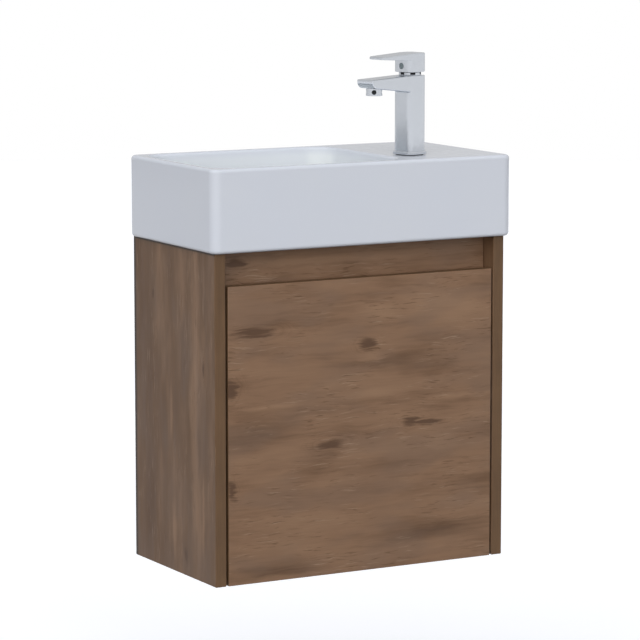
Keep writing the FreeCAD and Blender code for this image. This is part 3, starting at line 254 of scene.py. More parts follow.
def nearest_mark(tree, vector, marks):
    """How far the nearest of several oval marks is, 1 at its rim. A mark is its middle and its half sizes."""
    nearest = None
    for along, across, half_length, half_height in marks:
        offset = add_node(tree, VECTOR, {0: vector, 1: (along, across, 0.0)}, operation="SUBTRACT")
        scaled = add_node(tree, VECTOR, {0: offset, 1: (1.0 / half_length, 1.0 / half_height, 0.0)},
                          operation="MULTIPLY")
        away = add_node(tree, VECTOR, {0: scaled}, operation="LENGTH").outputs["Value"]
        if nearest is not None:
            away = add_node(tree, MATH, {0: nearest, 1: away}, operation="MINIMUM")
        nearest = away
    return nearest


def knot_figure(tree, near_knot, streaks):
    """The tone of the faint rings round the knots, and how much of a knot's soft heart shows."""
    rings = add_node(tree, NOISE, {"W": near_knot, "Scale": 4.2, "Detail": 2.0}, noise_dimensions="1D")
    halo = add_node(tree, RANGE, {0: near_knot, 1: 1.0, 2: 2.7, 3: 1.0, 4: 0.0},
                    interpolation_type="SMOOTHSTEP")
    ring_tone = add_node(tree, RANGE, {0: rings, 1: 0.3, 2: 0.7, 3: -0.14, 4: 0.05})
    ringed = add_node(tree, MATH, {0: ring_tone, 1: halo}, operation="MULTIPLY")
    # The fibres break up the rim of the heart
    fibres = add_node(tree, RANGE, {0: streaks, 1: 0.35, 2: 0.65, 3: -0.3, 4: 0.4})
    frayed = add_node(tree, MATH, {0: near_knot, 1: fibres}, operation="ADD")
    heart = add_node(tree, RANGE, {0: frayed, 1: 0.45, 2: 1.2, 3: 0.92, 4: 0.0},
                     interpolation_type="SMOOTHSTEP")
    return ringed, heart


def fine_lines(tree, flat, wavy):
    """Sparse dark checks and pale flecks, drawn 2 mm high because real ones are too fine to show."""
    patches = mottle(tree, flat, (90, 46, 40), 1.0)
    sparse = add_node(tree, RANGE, {0: patches, 1: 0.40, 2: 0.60, 3: 0.0, 4: 0.75},
                      interpolation_type="SMOOTHSTEP")
    hairs = add_node(tree, RANGE, {0: mottle(tree, wavy, (30, 1.9, 20)), 1: 0.59, 2: 0.69, 3: 0.0, 4: 1.0},
                     interpolation_type="SMOOTHSTEP")
    rays = add_node(tree, RANGE, {0: mottle(tree, wavy, (40, 2.0, 20)), 1: 0.40, 2: 0.30, 3: 0.0, 4: 0.7},
                    interpolation_type="SMOOTHSTEP")
    return [add_node(tree, MATH, {0: lines, 1: sparse}, operation="MULTIPLY") for lines in (hairs, rays)]


def top_shadow_and_rear_dark(tree, flat, look):
    """How much an upright board's face is darkened: painted shadow along its top edge under the basin, and
    darker towards its rear edge, none past their widths.
    """
    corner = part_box("left_side_panel")[1]
    inward = add_node(tree, VECTOR, {0: (corner[2] / MM, corner[1] / MM, 0.0), 1: flat}, operation="SUBTRACT")
    scaled = add_node(tree, VECTOR, {0: inward, 1: (MM / look.top_shadow_width, MM / look.rear_dark_width, 0.0)},
                      operation="MULTIPLY")
    split = add_node(tree, SPLIT, {0: scaled})
    near = add_node(tree, MATH, {0: split.outputs["X"], 1: split.outputs["Y"]}, operation="MINIMUM")
    return add_node(tree, RANGE, {0: near, 1: 0.4, 2: 1.2, 3: 0.92, 4: 0.0}, interpolation_type="SMOOTHSTEP")


def rustic_oak_decor(name, grain, look, middle, knots, pale_marks, dark_marks):
    """Melamine-faced board printed as knotty rustic oak, with a satin pressed face.

    The print shows cloudy figures along the grain, narrow streaks, pale and dark stains, short checks and
    flecks, and soft brown knots with faint rings. An upright board has painted shadow at its top edge and
    is darker towards its rear edge. The face has a faint pressed grain, so its sheen is broken up.
    """
    material, tree = new_finish(name)
    flat = board_axes(tree, grain)
    wavy = wavy_axes(tree, flat)

    # Cloudy figure, about 150 mm long and 30 mm high, then streaks 80 mm long and 3.6 mm high
    cloud = mottle(tree, wavy, (150, 30, 60), 3.0)
    streaks = mottle(tree, wavy, (80, 3.6, 30), 4.0)
    depth = 0.13 if grain == "X" else 0.06
    clouded = add_node(tree, RANGE, {0: cloud, 1: 0.25, 2: 0.75, 3: 0.22, 4: 0.78})
    streaked = add_node(tree, RANGE, {0: streaks, 1: 0.25, 2: 0.75, 3: -depth, 4: depth})
    pale = add_node(tree, RANGE, {0: nearest_mark(tree, wavy, pale_marks), 1: 0.15, 2: 1.15, 3: 0.32, 4: 0.0},
                    interpolation_type="SMOOTHSTEP")
    stain = add_node(tree, RANGE, {0: nearest_mark(tree, wavy, dark_marks), 1: 0.1, 2: 1.25, 3: 0.23, 4: 0.0},
                     interpolation_type="SMOOTHSTEP")
    ringed, heart = knot_figure(tree, nearest_mark(tree, wavy, knots), streaks)
    tone = add_node(tree, MATH, {0: clouded, 1: streaked}, operation="ADD")
    tone = add_node(tree, MATH, {0: tone, 1: pale}, operation="ADD")
    tone = add_node(tree, MATH, {0: tone, 1: stain}, operation="SUBTRACT")
    tone = add_node(tree, MATH, {0: tone, 1: ringed}, operation="ADD")

    # Three browns by tone, then each layer of the print over the one before
    ramp = add_node(tree, "ShaderNodeValToRGB", {0: tone})
    ends = ramp.color_ramp.elements
    ends[0].position = 0.02
    ends[0].color = rgba(look.dark_grain)
    ends[1].position = 0.98
    ends[1].color = rgba(look.pale_grain)
    ends.new(0.48).color = rgba(middle)
    checks, flecks = fine_lines(tree, flat, wavy)
    patches = add_node(tree, RANGE, {0: mottle(tree, flat, (130, 50, 80)), 1: 0.43, 2: 0.66, 3: 0.0, 4: 0.6},
                       interpolation_type="SMOOTHSTEP")
    cool = add_node(tree, MATH, {0: patches, 1: stain}, operation="ADD", use_clamp=True)
    greyer = add_node(tree, MIX, {0: 0.55, 6: ramp, 7: rgba(look.cool_patch)}, data_type="RGBA")
    printed = add_node(tree, MIX, {0: cool, 6: ramp, 7: greyer}, data_type="RGBA")
    layers = [(checks, look.dark_grain), (flecks, look.pale_fleck), (heart, look.knot_brown)]
    # Painted shadow along an upright board's top edge, under the basin, and darker towards its rear edge
    if grain == "Z":
        layers.append((top_shadow_and_rear_dark(tree, flat, look), look.top_shadow_and_rear_brown))
    for share, colour in layers:
        printed = add_node(tree, MIX, {0: share, 6: printed, 7: rgba(colour)}, data_type="RGBA")

    sheen = add_node(tree, RANGE, {0: streaks, 1: 0.3, 2: 0.7, 3: 0.50, 4: 0.62})
    pressed = add_node(tree, MATH, {0: streaks, 1: checks}, operation="SUBTRACT")
    relief = add_node(tree, BUMP, {"Height": pressed, "Strength": 1.0, "Distance": 0.08 * MM})
    return surfaced(material, {"Base Color": printed, "Roughness": sheen, "Specular IOR Level": 0.35,
                               "Normal": relief})


def plain_edge_band(look):
    """Brown ABS edge band with a faint printed grain along the edge, and a satin face."""
    material, tree = new_finish("brown_abs_edge_band")
    flat = millimetres(tree)
    broad = mottle(tree, flat, (60, 60, 60), 3.0)
    fine = mottle(tree, flat, (1.8, 1.8, 45), 3.0)
    figure = add_node(tree, MIX, {0: 0.45, 2: broad, 3: fine}, data_type="FLOAT")
    figured = add_node(tree, RANGE, {0: figure, 1: 0.35, 2: 0.65, 3: 0.0, 4: 1.0})
    grained = add_node(tree, MIX, {0: figured, 6: rgba(look.band_brown, 0.82),
                                   7: rgba(look.band_brown, 1.14)}, data_type="RGBA")
    relief = add_node(tree, BUMP, {"Height": fine, "Strength": 1.0, "Distance": 0.04 * MM})
    return surfaced(material, {"Base Color": grained, "Roughness": 0.52, "Specular IOR Level": 0.35,
                               "Normal": relief})


def melamine_facing(look):
    """Plain melamine on the boards' hidden faces, with a light pebble from the press plate."""
    material, tree = new_finish("plain_melamine_facing")
    flat = millimetres(tree)
    pebble = mottle(tree, flat, (1.1, 1.1, 1.1), 1.0)
    cloudy = add_node(tree, MIX, {0: mottle(tree, flat, (70, 70, 70)), 6: rgba(look.carcass_grey, 0.92),
                                  7: rgba(look.carcass_grey, 1.07)}, data_type="RGBA")
    sheen = add_node(tree, RANGE, {0: pebble, 1: 0.3, 2: 0.7, 3: 0.42, 4: 0.55})
    relief = add_node(tree, BUMP, {"Height": pebble, "Strength": 1.0, "Distance": 0.02 * MM})
    return surfaced(material, {"Base Color": cloudy, "Roughness": sheen, "Normal": relief})


# Materials of the basin, the tap and the hardware

# The bowl in millimetres: its middle, half its width and depth, and the heights where the painted light in it
# fades under the rim
BOWL_MIDDLE = (-73.0, -125.0, 0.0)
BOWL_HALF = (141.0, 112.0)
BOWL_LIP = (148.0, 159.0)


def bowl_light_mask(tree, flat):
    """1 inside the bowl and 0 outside it, with a soft edge just under the rim."""
    away = add_node(tree, VECTOR, {0: flat, 1: BOWL_MIDDLE}, operation="SUBTRACT")
    away = add_node(tree, VECTOR, {0: away}, operation="ABSOLUTE")
    away = add_node(tree, VECTOR, {0: away, 1: (1 / BOWL_HALF[0], 1 / BOWL_HALF[1], 1.0)},
                    operation="MULTIPLY")
    split = add_node(tree, SPLIT, {0: away})
    farther = add_node(tree, MATH, {0: split.outputs["X"], 1: split.outputs["Y"]}, operation="MAXIMUM")
    level = add_node(tree, RANGE, {0: farther, 1: 0.98, 2: 1.03, 3: 1.0, 4: 0.0})
    under = add_node(tree, RANGE, {0: split.outputs["Z"], 1: BOWL_LIP[0], 2: BOWL_LIP[1], 3: 1.0, 4: 0.0})
    return add_node(tree, MATH, {0: level, 1: under}, operation="MULTIPLY")


def glazed_china(look):
    """White vitreous china under a kiln glaze: a soft white body, a clear gloss and a faint ripple.

    The inside of the bowl is painted whiter than the rest, which is painted light.
    """
    material, tree = new_finish("glazed_vitreous_china")
    flat = millimetres(tree)
    white = look.china_white
    thick = mottle(tree, flat, (85, 85, 85), 2.0)
    body = add_node(tree, MIX, {0: thick, 6: rgba(white, 0.975, 0.985, 1.0),
                                7: rgba(white, 1.01, 1.01, 0.995)}, data_type="RGBA")
    # Painted light: the inside of the bowl is made whiter than the rest of the china
    inside = add_node(tree, MATH, {0: bowl_light_mask(tree, flat), 1: 0.9}, operation="MULTIPLY")
    body_with_bowl_light = add_node(tree, MIX, {0: inside, 6: body, 7: rgba(white, 1.19, 1.19, 1.10)}, data_type="RGBA")
    haze = add_node(tree, RANGE, {0: mottle(tree, flat, (9, 9, 9), 3.0), 1: 0.3, 2: 0.7, 3: 0.10, 4: 0.16})
    ripple = mottle(tree, flat, (28, 28, 28), 1.0)
    relief = add_node(tree, BUMP, {"Height": ripple, "Strength": 1.0, "Distance": 0.05 * MM})
    return surfaced(material, {"Base Color": body_with_bowl_light, "Roughness": haze, "IOR": 1.52, "Normal": relief})


def worked_metal(name, tint, polish, haze_size, ripple_depth):
    """A metal surface: its tint, the range of its roughness, the size of its haze and its ripple in mm."""
    material, tree = new_finish(name)
    haze = mottle(tree, millimetres(tree), haze_size, 3.0)
    film = add_node(tree, MIX, {0: haze, 6: rgba(tint, 1.04), 7: rgba(tint, 0.94)}, data_type="RGBA")
    rough = add_node(tree, RANGE, {0: haze, 1: 0.3, 2: 0.7, 3: polish[0], 4: polish[1]})
    relief = add_node(tree, BUMP, {"Height": haze, "Strength": 1.0, "Distance": ripple_depth * MM})
    return surfaced(material, {"Base Color": film, "Metallic": 1.0, "Roughness": rough, "Normal": relief})


def moulded_skin(name, colour, polish, grain, depth):
    """A moulded plastic or rubber skin: its colour, roughness range, grain width and grain depth in mm."""
    material, tree = new_finish(name)
    flat = millimetres(tree)
    pits = mottle(tree, flat, (grain, grain, grain), 2.0)
    cloud = mottle(tree, flat, (14, 14, 14), 2.0)
    body = add_node(tree, MIX, {0: cloud, 6: rgba(colour, 0.88), 7: rgba(colour, 1.08)}, data_type="RGBA")
    rough = add_node(tree, RANGE, {0: pits, 1: 0.3, 2: 0.7, 3: polish[0], 4: polish[1]})
    relief = add_node(tree, BUMP, {"Height": pits, "Strength": 1.0, "Distance": depth * MM})
    return surfaced(material, {"Base Color": body, "Roughness": rough, "Normal": relief})


def fluted_beech(look):
    """Beech dowel rod: pale tan with short brown flecks along its length."""
    material, tree = new_finish("fluted_beech")
    flecks = mottle(tree, millimetres(tree), (5, 0.6, 0.6))
    fleck = add_node(tree, RANGE, {0: flecks, 1: 0.55, 2: 0.75, 3: 0.0, 4: 0.6})
    body = add_node(tree, MIX, {0: fleck, 6: rgba(look.beech_tan), 7: rgba(look.beech_tan, 0.62)},
                    data_type="RGBA")
    return surfaced(material, {"Base Color": body, "Roughness": 0.6})


# Marks in the decor print: their middles along and across the grain and their half sizes, in millimetres
FACE_KNOTS = [(7, -83, 14, 9), (-163, -57, 34, 8), (76, -193, 17, 8), (100, -195, 22, 4), (-46, -213, 23, 8),
              (-198, -131, 12, 16), (-195, -264, 7, 15), (-174, 34, 15, 7)]
# The long pale mark 30 mm up is a paler band across the middle of the recess rail
FACE_PALE = [(15, -100, 28, 8), (121, -223, 34, 15), (-130, -256, 46, 14), (-133, -157, 64, 4),
             (34, -42, 46, 14), (6, -150, 80, 8), (150, -163, 60, 5), (-30, 30, 190, 7), (127, -41, 90, 46)]
FACE_DARK = [(-150, -189, 72, 24), (116, -345, 96, 17), (95, -110, 92, 17), (-62, -226, 44, 18),
             (-120, -375, 90, 12)]
SIDE_KNOTS = [(-363, -154, 10, 5), (-107, -208, 11, 3), (-20, -60, 8, 4)]
SIDE_PALE = [(-150, -190, 260, 24), (6, -207, 62, 5), (-173, -112, 40, 6), (-300, -205, 80, 5),
             (-330, -120, 50, 8)]
SIDE_DARK = [(-190, -40, 290, 46), (-217, -193, 48, 6), (-63, -44, 76, 9), (-100, -150, 64, 9),
             (-190, -90, 70, 14)]
UNDER_KNOTS = [(-90, -70, 12, 7)]
UNDER_PALE = [(60, -120, 70, 9)]
UNDER_DARK = [(-40, -170, 90, 14)]
FINISHES = {}


def make_finishes(scene):
    """Makes every material once, named for what it is."""
    if FINISHES:
        return
    decor = scene.vanity_decor
    parts = scene.vanity_fittings
    FINISHES["face"] = rustic_oak_decor("rustic_oak_decor_across", "X", decor, decor.door_brown, FACE_KNOTS,
                                        FACE_PALE, FACE_DARK)
    FINISHES["side"] = rustic_oak_decor("rustic_oak_decor_upright", "Z", decor, decor.side_brown, SIDE_KNOTS,
                                        SIDE_PALE, SIDE_DARK)
    FINISHES["under"] = rustic_oak_decor("rustic_oak_decor_level", "Y", decor, decor.side_brown, UNDER_KNOTS,
                                         UNDER_PALE, UNDER_DARK)
    FINISHES["band"] = plain_edge_band(decor)
    FINISHES["facing"] = melamine_facing(decor)
    FINISHES["china"] = glazed_china(parts)
    # Chrome over nickel on cast brass: a soft mirror with a faint haze and a long ripple from polishing
    FINISHES["chrome"] = worked_metal("bright_chrome_plate", parts.chrome_tint, (0.20, 0.27), (7, 7, 7), 0.01)
    # Pressed steel with nickel plate: a warm grey with soft reflections
    FINISHES["nickel"] = worked_metal("nickel_plated_steel", parts.nickel_tint, (0.22, 0.34), (4, 4, 9), 0.02)
    # Rolled and zinc-plated steel: cooler and duller than nickel
    FINISHES["zinc"] = worked_metal("zinc_plated_steel", parts.zinc_tint, (0.30, 0.48), (3, 3, 3), 0.03)
    # Turned brass: yellow, with fine tool marks round its axis
    FINISHES["brass"] = worked_metal("turned_brass", parts.brass_tint, (0.20, 0.36), (6, 6, 0.8), 0.02)
    # Moulded EPDM rubber: matt black with a fine grain
    FINISHES["rubber"] = moulded_skin("moulded_epdm_rubber", parts.rubber_black, (0.62, 0.80), 0.7, 0.03)
    # Moulded acetal: smooth, waxy white
    FINISHES["acetal"] = moulded_skin("moulded_white_acetal", parts.acetal_white, (0.32, 0.42), 1.2, 0.01)
    # Moulded nylon with glass fibre: black with a slight sheen
    FINISHES["nylon"] = moulded_skin("moulded_black_nylon", parts.nylon_black, (0.42, 0.58), 0.9, 0.02)
    # Polished ABS of the index cap: grey with a clear gloss
    FINISHES["cap"] = moulded_skin("polished_grey_abs", parts.cap_grey, (0.12, 0.20), 0.8, 0.005)
    FINISHES["beech"] = fluted_beech(parts)


# Pieces made from merged copies of the frame's nodes

def merged_copy(node):
    """A bmesh copy of a node with its loose triangles joined and its flat faces made whole."""
    work = bmesh.new()
    work.from_mesh(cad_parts[node].data)
    bmesh.ops.remove_doubles(work, verts=work.verts, dist=0.002 * MM)
    bmesh.ops.dissolve_limit(work, angle_limit=math.radians(0.4), verts=work.verts, edges=work.edges)
    return work


def plain_mesh(name, work, *materials):
    """Turns a bmesh into a mesh with materials."""
    mesh = bpy.data.meshes.new(name)
    work.to_mesh(mesh)
    work.free()
    for material in materials:
        mesh.materials.append(material)
    return mesh


def finished_piece(name, mesh, body, node):
    """Makes a mesh a smooth piece that rides on a body and stands for a node."""
    mesh.shade_smooth()
    mesh.set_sharp_from_angle(angle=SHARP_ANGLE)
    piece = bpy.data.objects.new(name, mesh)
    bpy.context.scene.collection.objects.link(piece)
    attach(piece, body)
    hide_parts(node)
    return piece


def ease_edges(piece, width, picked="ANGLE"):
    """Rounds a piece's sharp edges, or its weighted ones."""
    bevel = piece.modifiers.new("eased edges", "BEVEL")
    bevel.width = width
    bevel.segments = 2
    bevel.limit_method = picked
    bevel.angle_limit = SHARP_ANGLE
    bevel.use_clamp_overlap = False


def flatten_faces(piece):
    """Keeps a piece's flat faces flat to the eye beside its rounded ones."""
    piece.modifiers.new("flat faces", "WEIGHTED_NORMAL").keep_sharp = True


def dress(node, name, body, finish, edge=0.0):
    """A smooth piece that stands for a node in one material, with rounded edges if they have a width."""
    mesh = plain_mesh(name, merged_copy(node), FINISHES[finish])
    piece = finished_piece(name, mesh, body, node)
    if edge:
        ease_edges(piece, edge)
    flatten_faces(piece)


def paint(finish, *names):
    """Gives nodes that stay as they are a material."""
    for name in names:
        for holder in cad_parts[name].material_slots:
            holder.material = FINISHES[finish]


def outer_axes(points, low, high):
    """The axes along which all the points lie on the same outer side of a box."""
    near = 0.2 * MM
    return [axis for axis in range(3)
            if any(all(abs(point[axis] - corner[axis]) < near for point in points) for corner in (low, high))]


def dress_board(node, name, body, finish, facing_way, edge):
    """A board with a finish on the faces across one axis and an edge band round its edges.

    Its holes show plain melamine, and only its outer edges are rounded.
    """
    work = merged_copy(node)
    low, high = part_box(node)
    for face in work.faces:
        across = max(range(3), key=lambda axis: abs(face.normal[axis]))
        if across == facing_way:
            face.material_index = 0
        elif across in outer_axes([face.calc_center_median()], low, high):
            face.material_index = 1
        else:
            face.material_index = 2
    weight = work.edges.layers.float.new("bevel_weight_edge")
    for line in work.edges:
        sides = outer_axes([vert.co for vert in line.verts], low, high)
        line[weight] = 1.0 if len(sides) > 1 else 0.0
    mesh = plain_mesh(name, work, FINISHES[finish], FINISHES["band"], FINISHES["facing"])
    piece = finished_piece(name, mesh, body, node)
    ease_edges(piece, edge, "WEIGHT")
    flatten_faces(piece)


# Geometry Nodes for what repeats

# The screws' shank radii, in wood and in the hinge arms, and the height of their heads
WOOD_SHANK = 1.75 * MM
ARM_SHANK = 2 * MM
HEAD_HEIGHT = 2 * MM

# Shares of a screw's head: the top of its crown, and the length, width and depth of its cross
CROWN_TOP = 0.72
CROSS_LONG = 0.95
CROSS_WIDE = 0.24
CROSS_DEEP = 1.3

# Shares of a honeycomb's pitch: a cell's radius outside and inside its wall, and its middle's way to the rim
CELL_OUTSIDE = 0.577
CELL_INSIDE = 0.46
CELL_TO_RIM = 0.6


def new_tree(name, sizes):
    """A geometry tree with its named sizes as inputs; gives the tree and its input node."""
    tree = bpy.data.node_groups.new(name, "GeometryNodeTree")
    tree.interface.new_socket("Geometry", in_out="INPUT", socket_type="NodeSocketGeometry")
    tree.interface.new_socket("Geometry", in_out="OUTPUT", socket_type="NodeSocketGeometry")
    for size in sizes:
        tree.interface.new_socket(size, in_out="INPUT", socket_type="NodeSocketFloat")
    return tree, add_node(tree, "NodeGroupInput")


def plant(tree, given, material, shape, turn=(0.0, 0.0, 0.0)):
    """Ends a tree: puts a shape on every point that it is given, makes the copies real and coats them."""
    points = add_node(tree, "GeometryNodeMeshToPoints", {"Mesh": given.outputs["Geometry"]})
    copies = add_node(tree, "GeometryNodeInstanceOnPoints", {"Points": points, "Instance": shape,
                                                             "Rotation": turn})
    real = add_node(tree, "GeometryNodeRealizeInstances", {0: copies})
    coated = add_node(tree, "GeometryNodeSetMaterial", {"Geometry": real, "Material": material})
    add_node(tree, "NodeGroupOutput", {0: coated})


def screw_tree(material):
    """Raised round heads with a cross recess, each on a shank, one on every point along its own way."""
    tree, given = new_tree("cross_head_screws",
                           ("Head Radius", "Head Height", "Shank Radius", "Shank Length"))
    radius = given.outputs["Head Radius"]
    height = given.outputs["Head Height"]
    length = given.outputs["Shank Length"]
    top = add_node(tree, MATH, {0: radius, 1: CROWN_TOP}, operation="MULTIPLY")
    crown = add_node(tree, "GeometryNodeMeshCone",
                     {"Vertices": 28, "Radius Top": top, "Radius Bottom": radius, "Depth": height})
    long = add_node(tree, MATH, {0: radius, 1: CROSS_LONG}, operation="MULTIPLY")
    wide = add_node(tree, MATH, {0: radius, 1: CROSS_WIDE}, operation="MULTIPLY")
    deep = add_node(tree, MATH, {0: height, 1: CROSS_DEEP}, operation="MULTIPLY")
    lifted = add_node(tree, JOIN, {2: height})
    cross = add_node(tree, "GeometryNodeJoinGeometry")
    for first, second in ((long, wide), (wide, long)):
        size = add_node(tree, JOIN, {0: first, 1: second, 2: deep})
        bar = add_node(tree, "GeometryNodeMeshCube", {"Size": size})
        moved = add_node(tree, "GeometryNodeTransform", {"Geometry": bar, "Translation": lifted})
        tree.links.new(moved.outputs[0], cross.inputs[0])
    head = add_node(tree, "GeometryNodeMeshBoolean", {0: crown, 1: cross}, operation="DIFFERENCE")
    shank = add_node(tree, "GeometryNodeMeshCylinder",
                     {"Vertices": 16, "Radius": given.outputs["Shank Radius"], "Depth": length})
    half = add_node(tree, MATH, {0: length, 1: -0.5}, operation="MULTIPLY")
    sunk = add_node(tree, "GeometryNodeTransform",
                    {"Geometry": shank, "Translation": add_node(tree, JOIN, {2: half})})
    screw = add_node(tree, "GeometryNodeJoinGeometry", {0: head})
    tree.links.new(sunk.outputs[0], screw.inputs[0])
    way = add_node(tree, "GeometryNodeInputNamedAttribute", {"Name": "way"}, data_type="FLOAT_VECTOR")
    turned = add_node(tree, "FunctionNodeAlignRotationToVector", {"Vector": way}, axis="Z")
    plant(tree, given, material, screw, turned)
    return tree


def honeycomb_tree(material):
    """Six-sided cells side by side, as in a moulded aerator screen."""
    tree, given = new_tree("honeycomb_screen", ("Pitch", "Depth"))
    prisms = []
    for share, reach in ((CELL_OUTSIDE, 1.0), (CELL_INSIDE, 1.5)):
        radius = add_node(tree, MATH, {0: given.outputs["Pitch"], 1: share}, operation="MULTIPLY")
        depth = add_node(tree, MATH, {0: given.outputs["Depth"], 1: reach}, operation="MULTIPLY")
        prisms.append(add_node(tree, "GeometryNodeMeshCylinder",
                               {"Vertices": 6, "Radius": radius, "Depth": depth}))
    cell = add_node(tree, "GeometryNodeMeshBoolean", {0: prisms[0], 1: prisms[1]}, operation="DIFFERENCE")
    turned = add_node(tree, "GeometryNodeTransform",
                      {"Geometry": cell, "Rotation": (0.0, 0.0, math.radians(30))})
    plant(tree, given, material, turned)
    return tree


def grown_mesh(name, points, way, tree, sizes):
    """A plain mesh that a geometry tree grows on points, towards a way."""
    seeds = bpy.data.meshes.new(name + "_seeds")
    seeds.from_pydata(points, [], [])
    ways = seeds.attributes.new("way", "FLOAT_VECTOR", "POINT")
    for place in ways.data:
        place.vector = way
    holder = bpy.data.objects.new(name + "_seeds", seeds)
    bpy.context.scene.collection.objects.link(holder)
    modifier = holder.modifiers.new("grow", "NODES")
    modifier.node_group = tree
    for item in tree.interface.items_tree:
        if item.in_out == "INPUT" and item.name in sizes:
            modifier[item.identifier] = sizes[item.name]
    bpy.context.view_layer.update()
    grown = bpy.data.meshes.new_from_object(holder.evaluated_get(bpy.context.evaluated_depsgraph_get()))
    grown.name = name
    holder.modifiers.remove(modifier)
    bpy.data.objects.remove(holder)
    return grown


def separate_boxes(node):
    """The low and high corners of each loose solid in a node, in the order of its points."""
    work = merged_copy(node)
    seen = set()
    boxes = []
    for start in work.verts:
        if start in seen:
            continue
        seen.add(start)
        reached = [start]
        for vert in reached:
            for link in vert.link_edges:
                other = link.other_vert(vert)
                if other not in seen:
                    seen.add(other)
                    reached.append(other)
        corners = [vert.co.copy() for vert in reached]
        boxes.append((Vector([min(co[axis] for co in corners) for axis in range(3)]),
                      Vector([max(co[axis] for co in corners) for axis in range(3)])))
    work.free()
    return boxes


def drive_screws(node, name, body, way, shank_radius):
    """Cross-head screws in place of a node's plain ones, with their heads towards a way."""
    axis = max(range(3), key=lambda index: abs(way[index]))
    beside = (axis + 1) % 3
    boxes = separate_boxes(node)
    points = []
    for low, high in boxes:
        under_head = (low + high) / 2
        under_head[axis] = high[axis] - HEAD_HEIGHT if way[axis] > 0 else low[axis] + HEAD_HEIGHT
        points.append(under_head)
    low, high = boxes[-1]
    sizes = {"Head Radius": (high[beside] - low[beside]) / 2, "Head Height": HEAD_HEIGHT,
             "Shank Radius": shank_radius, "Shank Length": high[axis] - low[axis] - HEAD_HEIGHT}
    mesh = grown_mesh(name, points, way, screw_tree(FINISHES["nickel"]), sizes)
    finished_piece(name, mesh, body, node)


def fill_screen(node, name, body, pitch):
    """A honeycomb in place of a node's plain disc, with every cell that fits inside its rim."""
    low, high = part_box(node)
    middle = (Vector(low) + Vector(high)) / 2
    radius = (high[0] - low[0]) / 2
    rows = int(radius / pitch) + 2
    points = []
    for row in range(-rows, rows + 1):
        for step in range(-rows, rows + 1):
            across = (step + 0.5 * (row % 2)) * pitch
            along = row * pitch * math.sqrt(3) / 2
            if math.hypot(across, along) < radius - CELL_TO_RIM * pitch:
                points.append((middle.x + across, middle.y + along, middle.z))
    sizes = {"Pitch": pitch, "Depth": high[2] - low[2]}
    mesh = grown_mesh(name, points, (0, 0, 1), honeycomb_tree(FINISHES["nylon"]), sizes)
    finished_piece(name, mesh, body, node)


# Operators, one for each group of pieces

class VANITY_OT_cabinet(bpy.types.Operator):
    """Dress the side panels, the bottom panel and the rails, and finish their hidden fittings."""

    bl_idname = "vanity.cabinet"
    bl_label = "Cabinet"

    def execute(self, context):
        make_finishes(context.scene)
        look = context.scene.vanity_decor
        edge = look.board_edge
        dress_board("left_side_panel", "left_side_board", "unit", "side", 0, look.side_edge)
        dress_board("right_side_panel", "right_side_board", "unit", "side", 0, look.side_edge)
        dress_board("bottom_panel", "bottom_board", "unit", "under", 2, edge)
        dress_board("front_top_rail", "recess_rail_board", "unit", "face", 1, edge)
        dress_board("rear_top_rail", "wall_rail_board", "unit", "facing", 1, edge)
        dress_board("rear_bottom_rail", "foot_rail_board", "unit", "facing", 1, edge)
        paint("beech", "panel_dowels")
        paint("zinc", "cam_bolts")
        dress("cam_locks", "cam_lock_discs", "unit", "zinc", context.scene.vanity_fittings.lock_edge)
        return {"FINISHED"}


class VANITY_OT_door(bpy.types.Operator):
    """Dress the slab door and its bumpers."""

    bl_idname = "vanity.door"
    bl_label = "Door"

    def execute(self, context):
        make_finishes(context.scene)
        parts = context.scene.vanity_fittings
        dress_board("door_panel", "door_board", "door", "face", 1, context.scene.vanity_decor.board_edge)
        dress("door_bumpers", "door_bumper_pads", "door", "rubber", parts.bumper_edge)
        return {"FINISHED"}


class VANITY_OT_hinges(bpy.types.Operator):
    """Dress the two hinges and drive their screws."""

    bl_idname = "vanity.hinges"
    bl_label = "Hinges"

    def execute(self, context):
        make_finishes(context.scene)
        edge = context.scene.vanity_fittings.metal_edge
        for which in ("upper", "lower"):
            dress("hinge_cup_" + which, which + "_hinge_cup", "door", "nickel")
            dress("hinge_pin_" + which, which + "_hinge_pin", "door", "zinc")
            dress("hinge_arm_" + which, which + "_hinge_arm", "unit", "nickel", edge)
            dress("hinge_plate_" + which, which + "_hinge_plate", "unit", "nickel", edge)
        drive_screws("hinge_cup_screws", "cup_screws", "door", (0, 1, 0), WOOD_SHANK)
        drive_screws("hinge_plate_screws", "plate_screws", "unit", (-1, 0, 0), WOOD_SHANK)
        drive_screws("hinge_arm_screws", "arm_screws", "unit", (-1, 0, 0), ARM_SHANK)
        return {"FINISHED"}


class VANITY_OT_basin(bpy.types.Operator):
    """Dress the basin."""

    bl_idname = "vanity.basin"
    bl_label = "Basin"

    def execute(self, context):
        make_finishes(context.scene)
        dress("basin", "china_basin", "unit", "china")
        return {"FINISHED"}


class VANITY_OT_waste(bpy.types.Operator):
    """Dress the waste, its nut and washers, and the push plug."""

    bl_idname = "vanity.waste"
    bl_label = "Waste"

    def execute(self, context):
        make_finishes(context.scene)
        edge = context.scene.vanity_fittings.metal_edge
        dress("waste_body", "waste_flange_and_tail", "unit", "chrome", edge)
        dress("waste_backnut", "waste_back_nut", "unit", "brass", edge)
        dress("waste_lower_washer", "waste_under_washer", "unit", "rubber", edge)
        dress("waste_plug", "push_plug", "plug", "chrome", edge)
        dress("plug_seal", "plug_seal_ring", "plug", "rubber")
        paint("rubber", "waste_top_washer")
        paint("acetal", "clicker_cartridge")
        return {"FINISHED"}


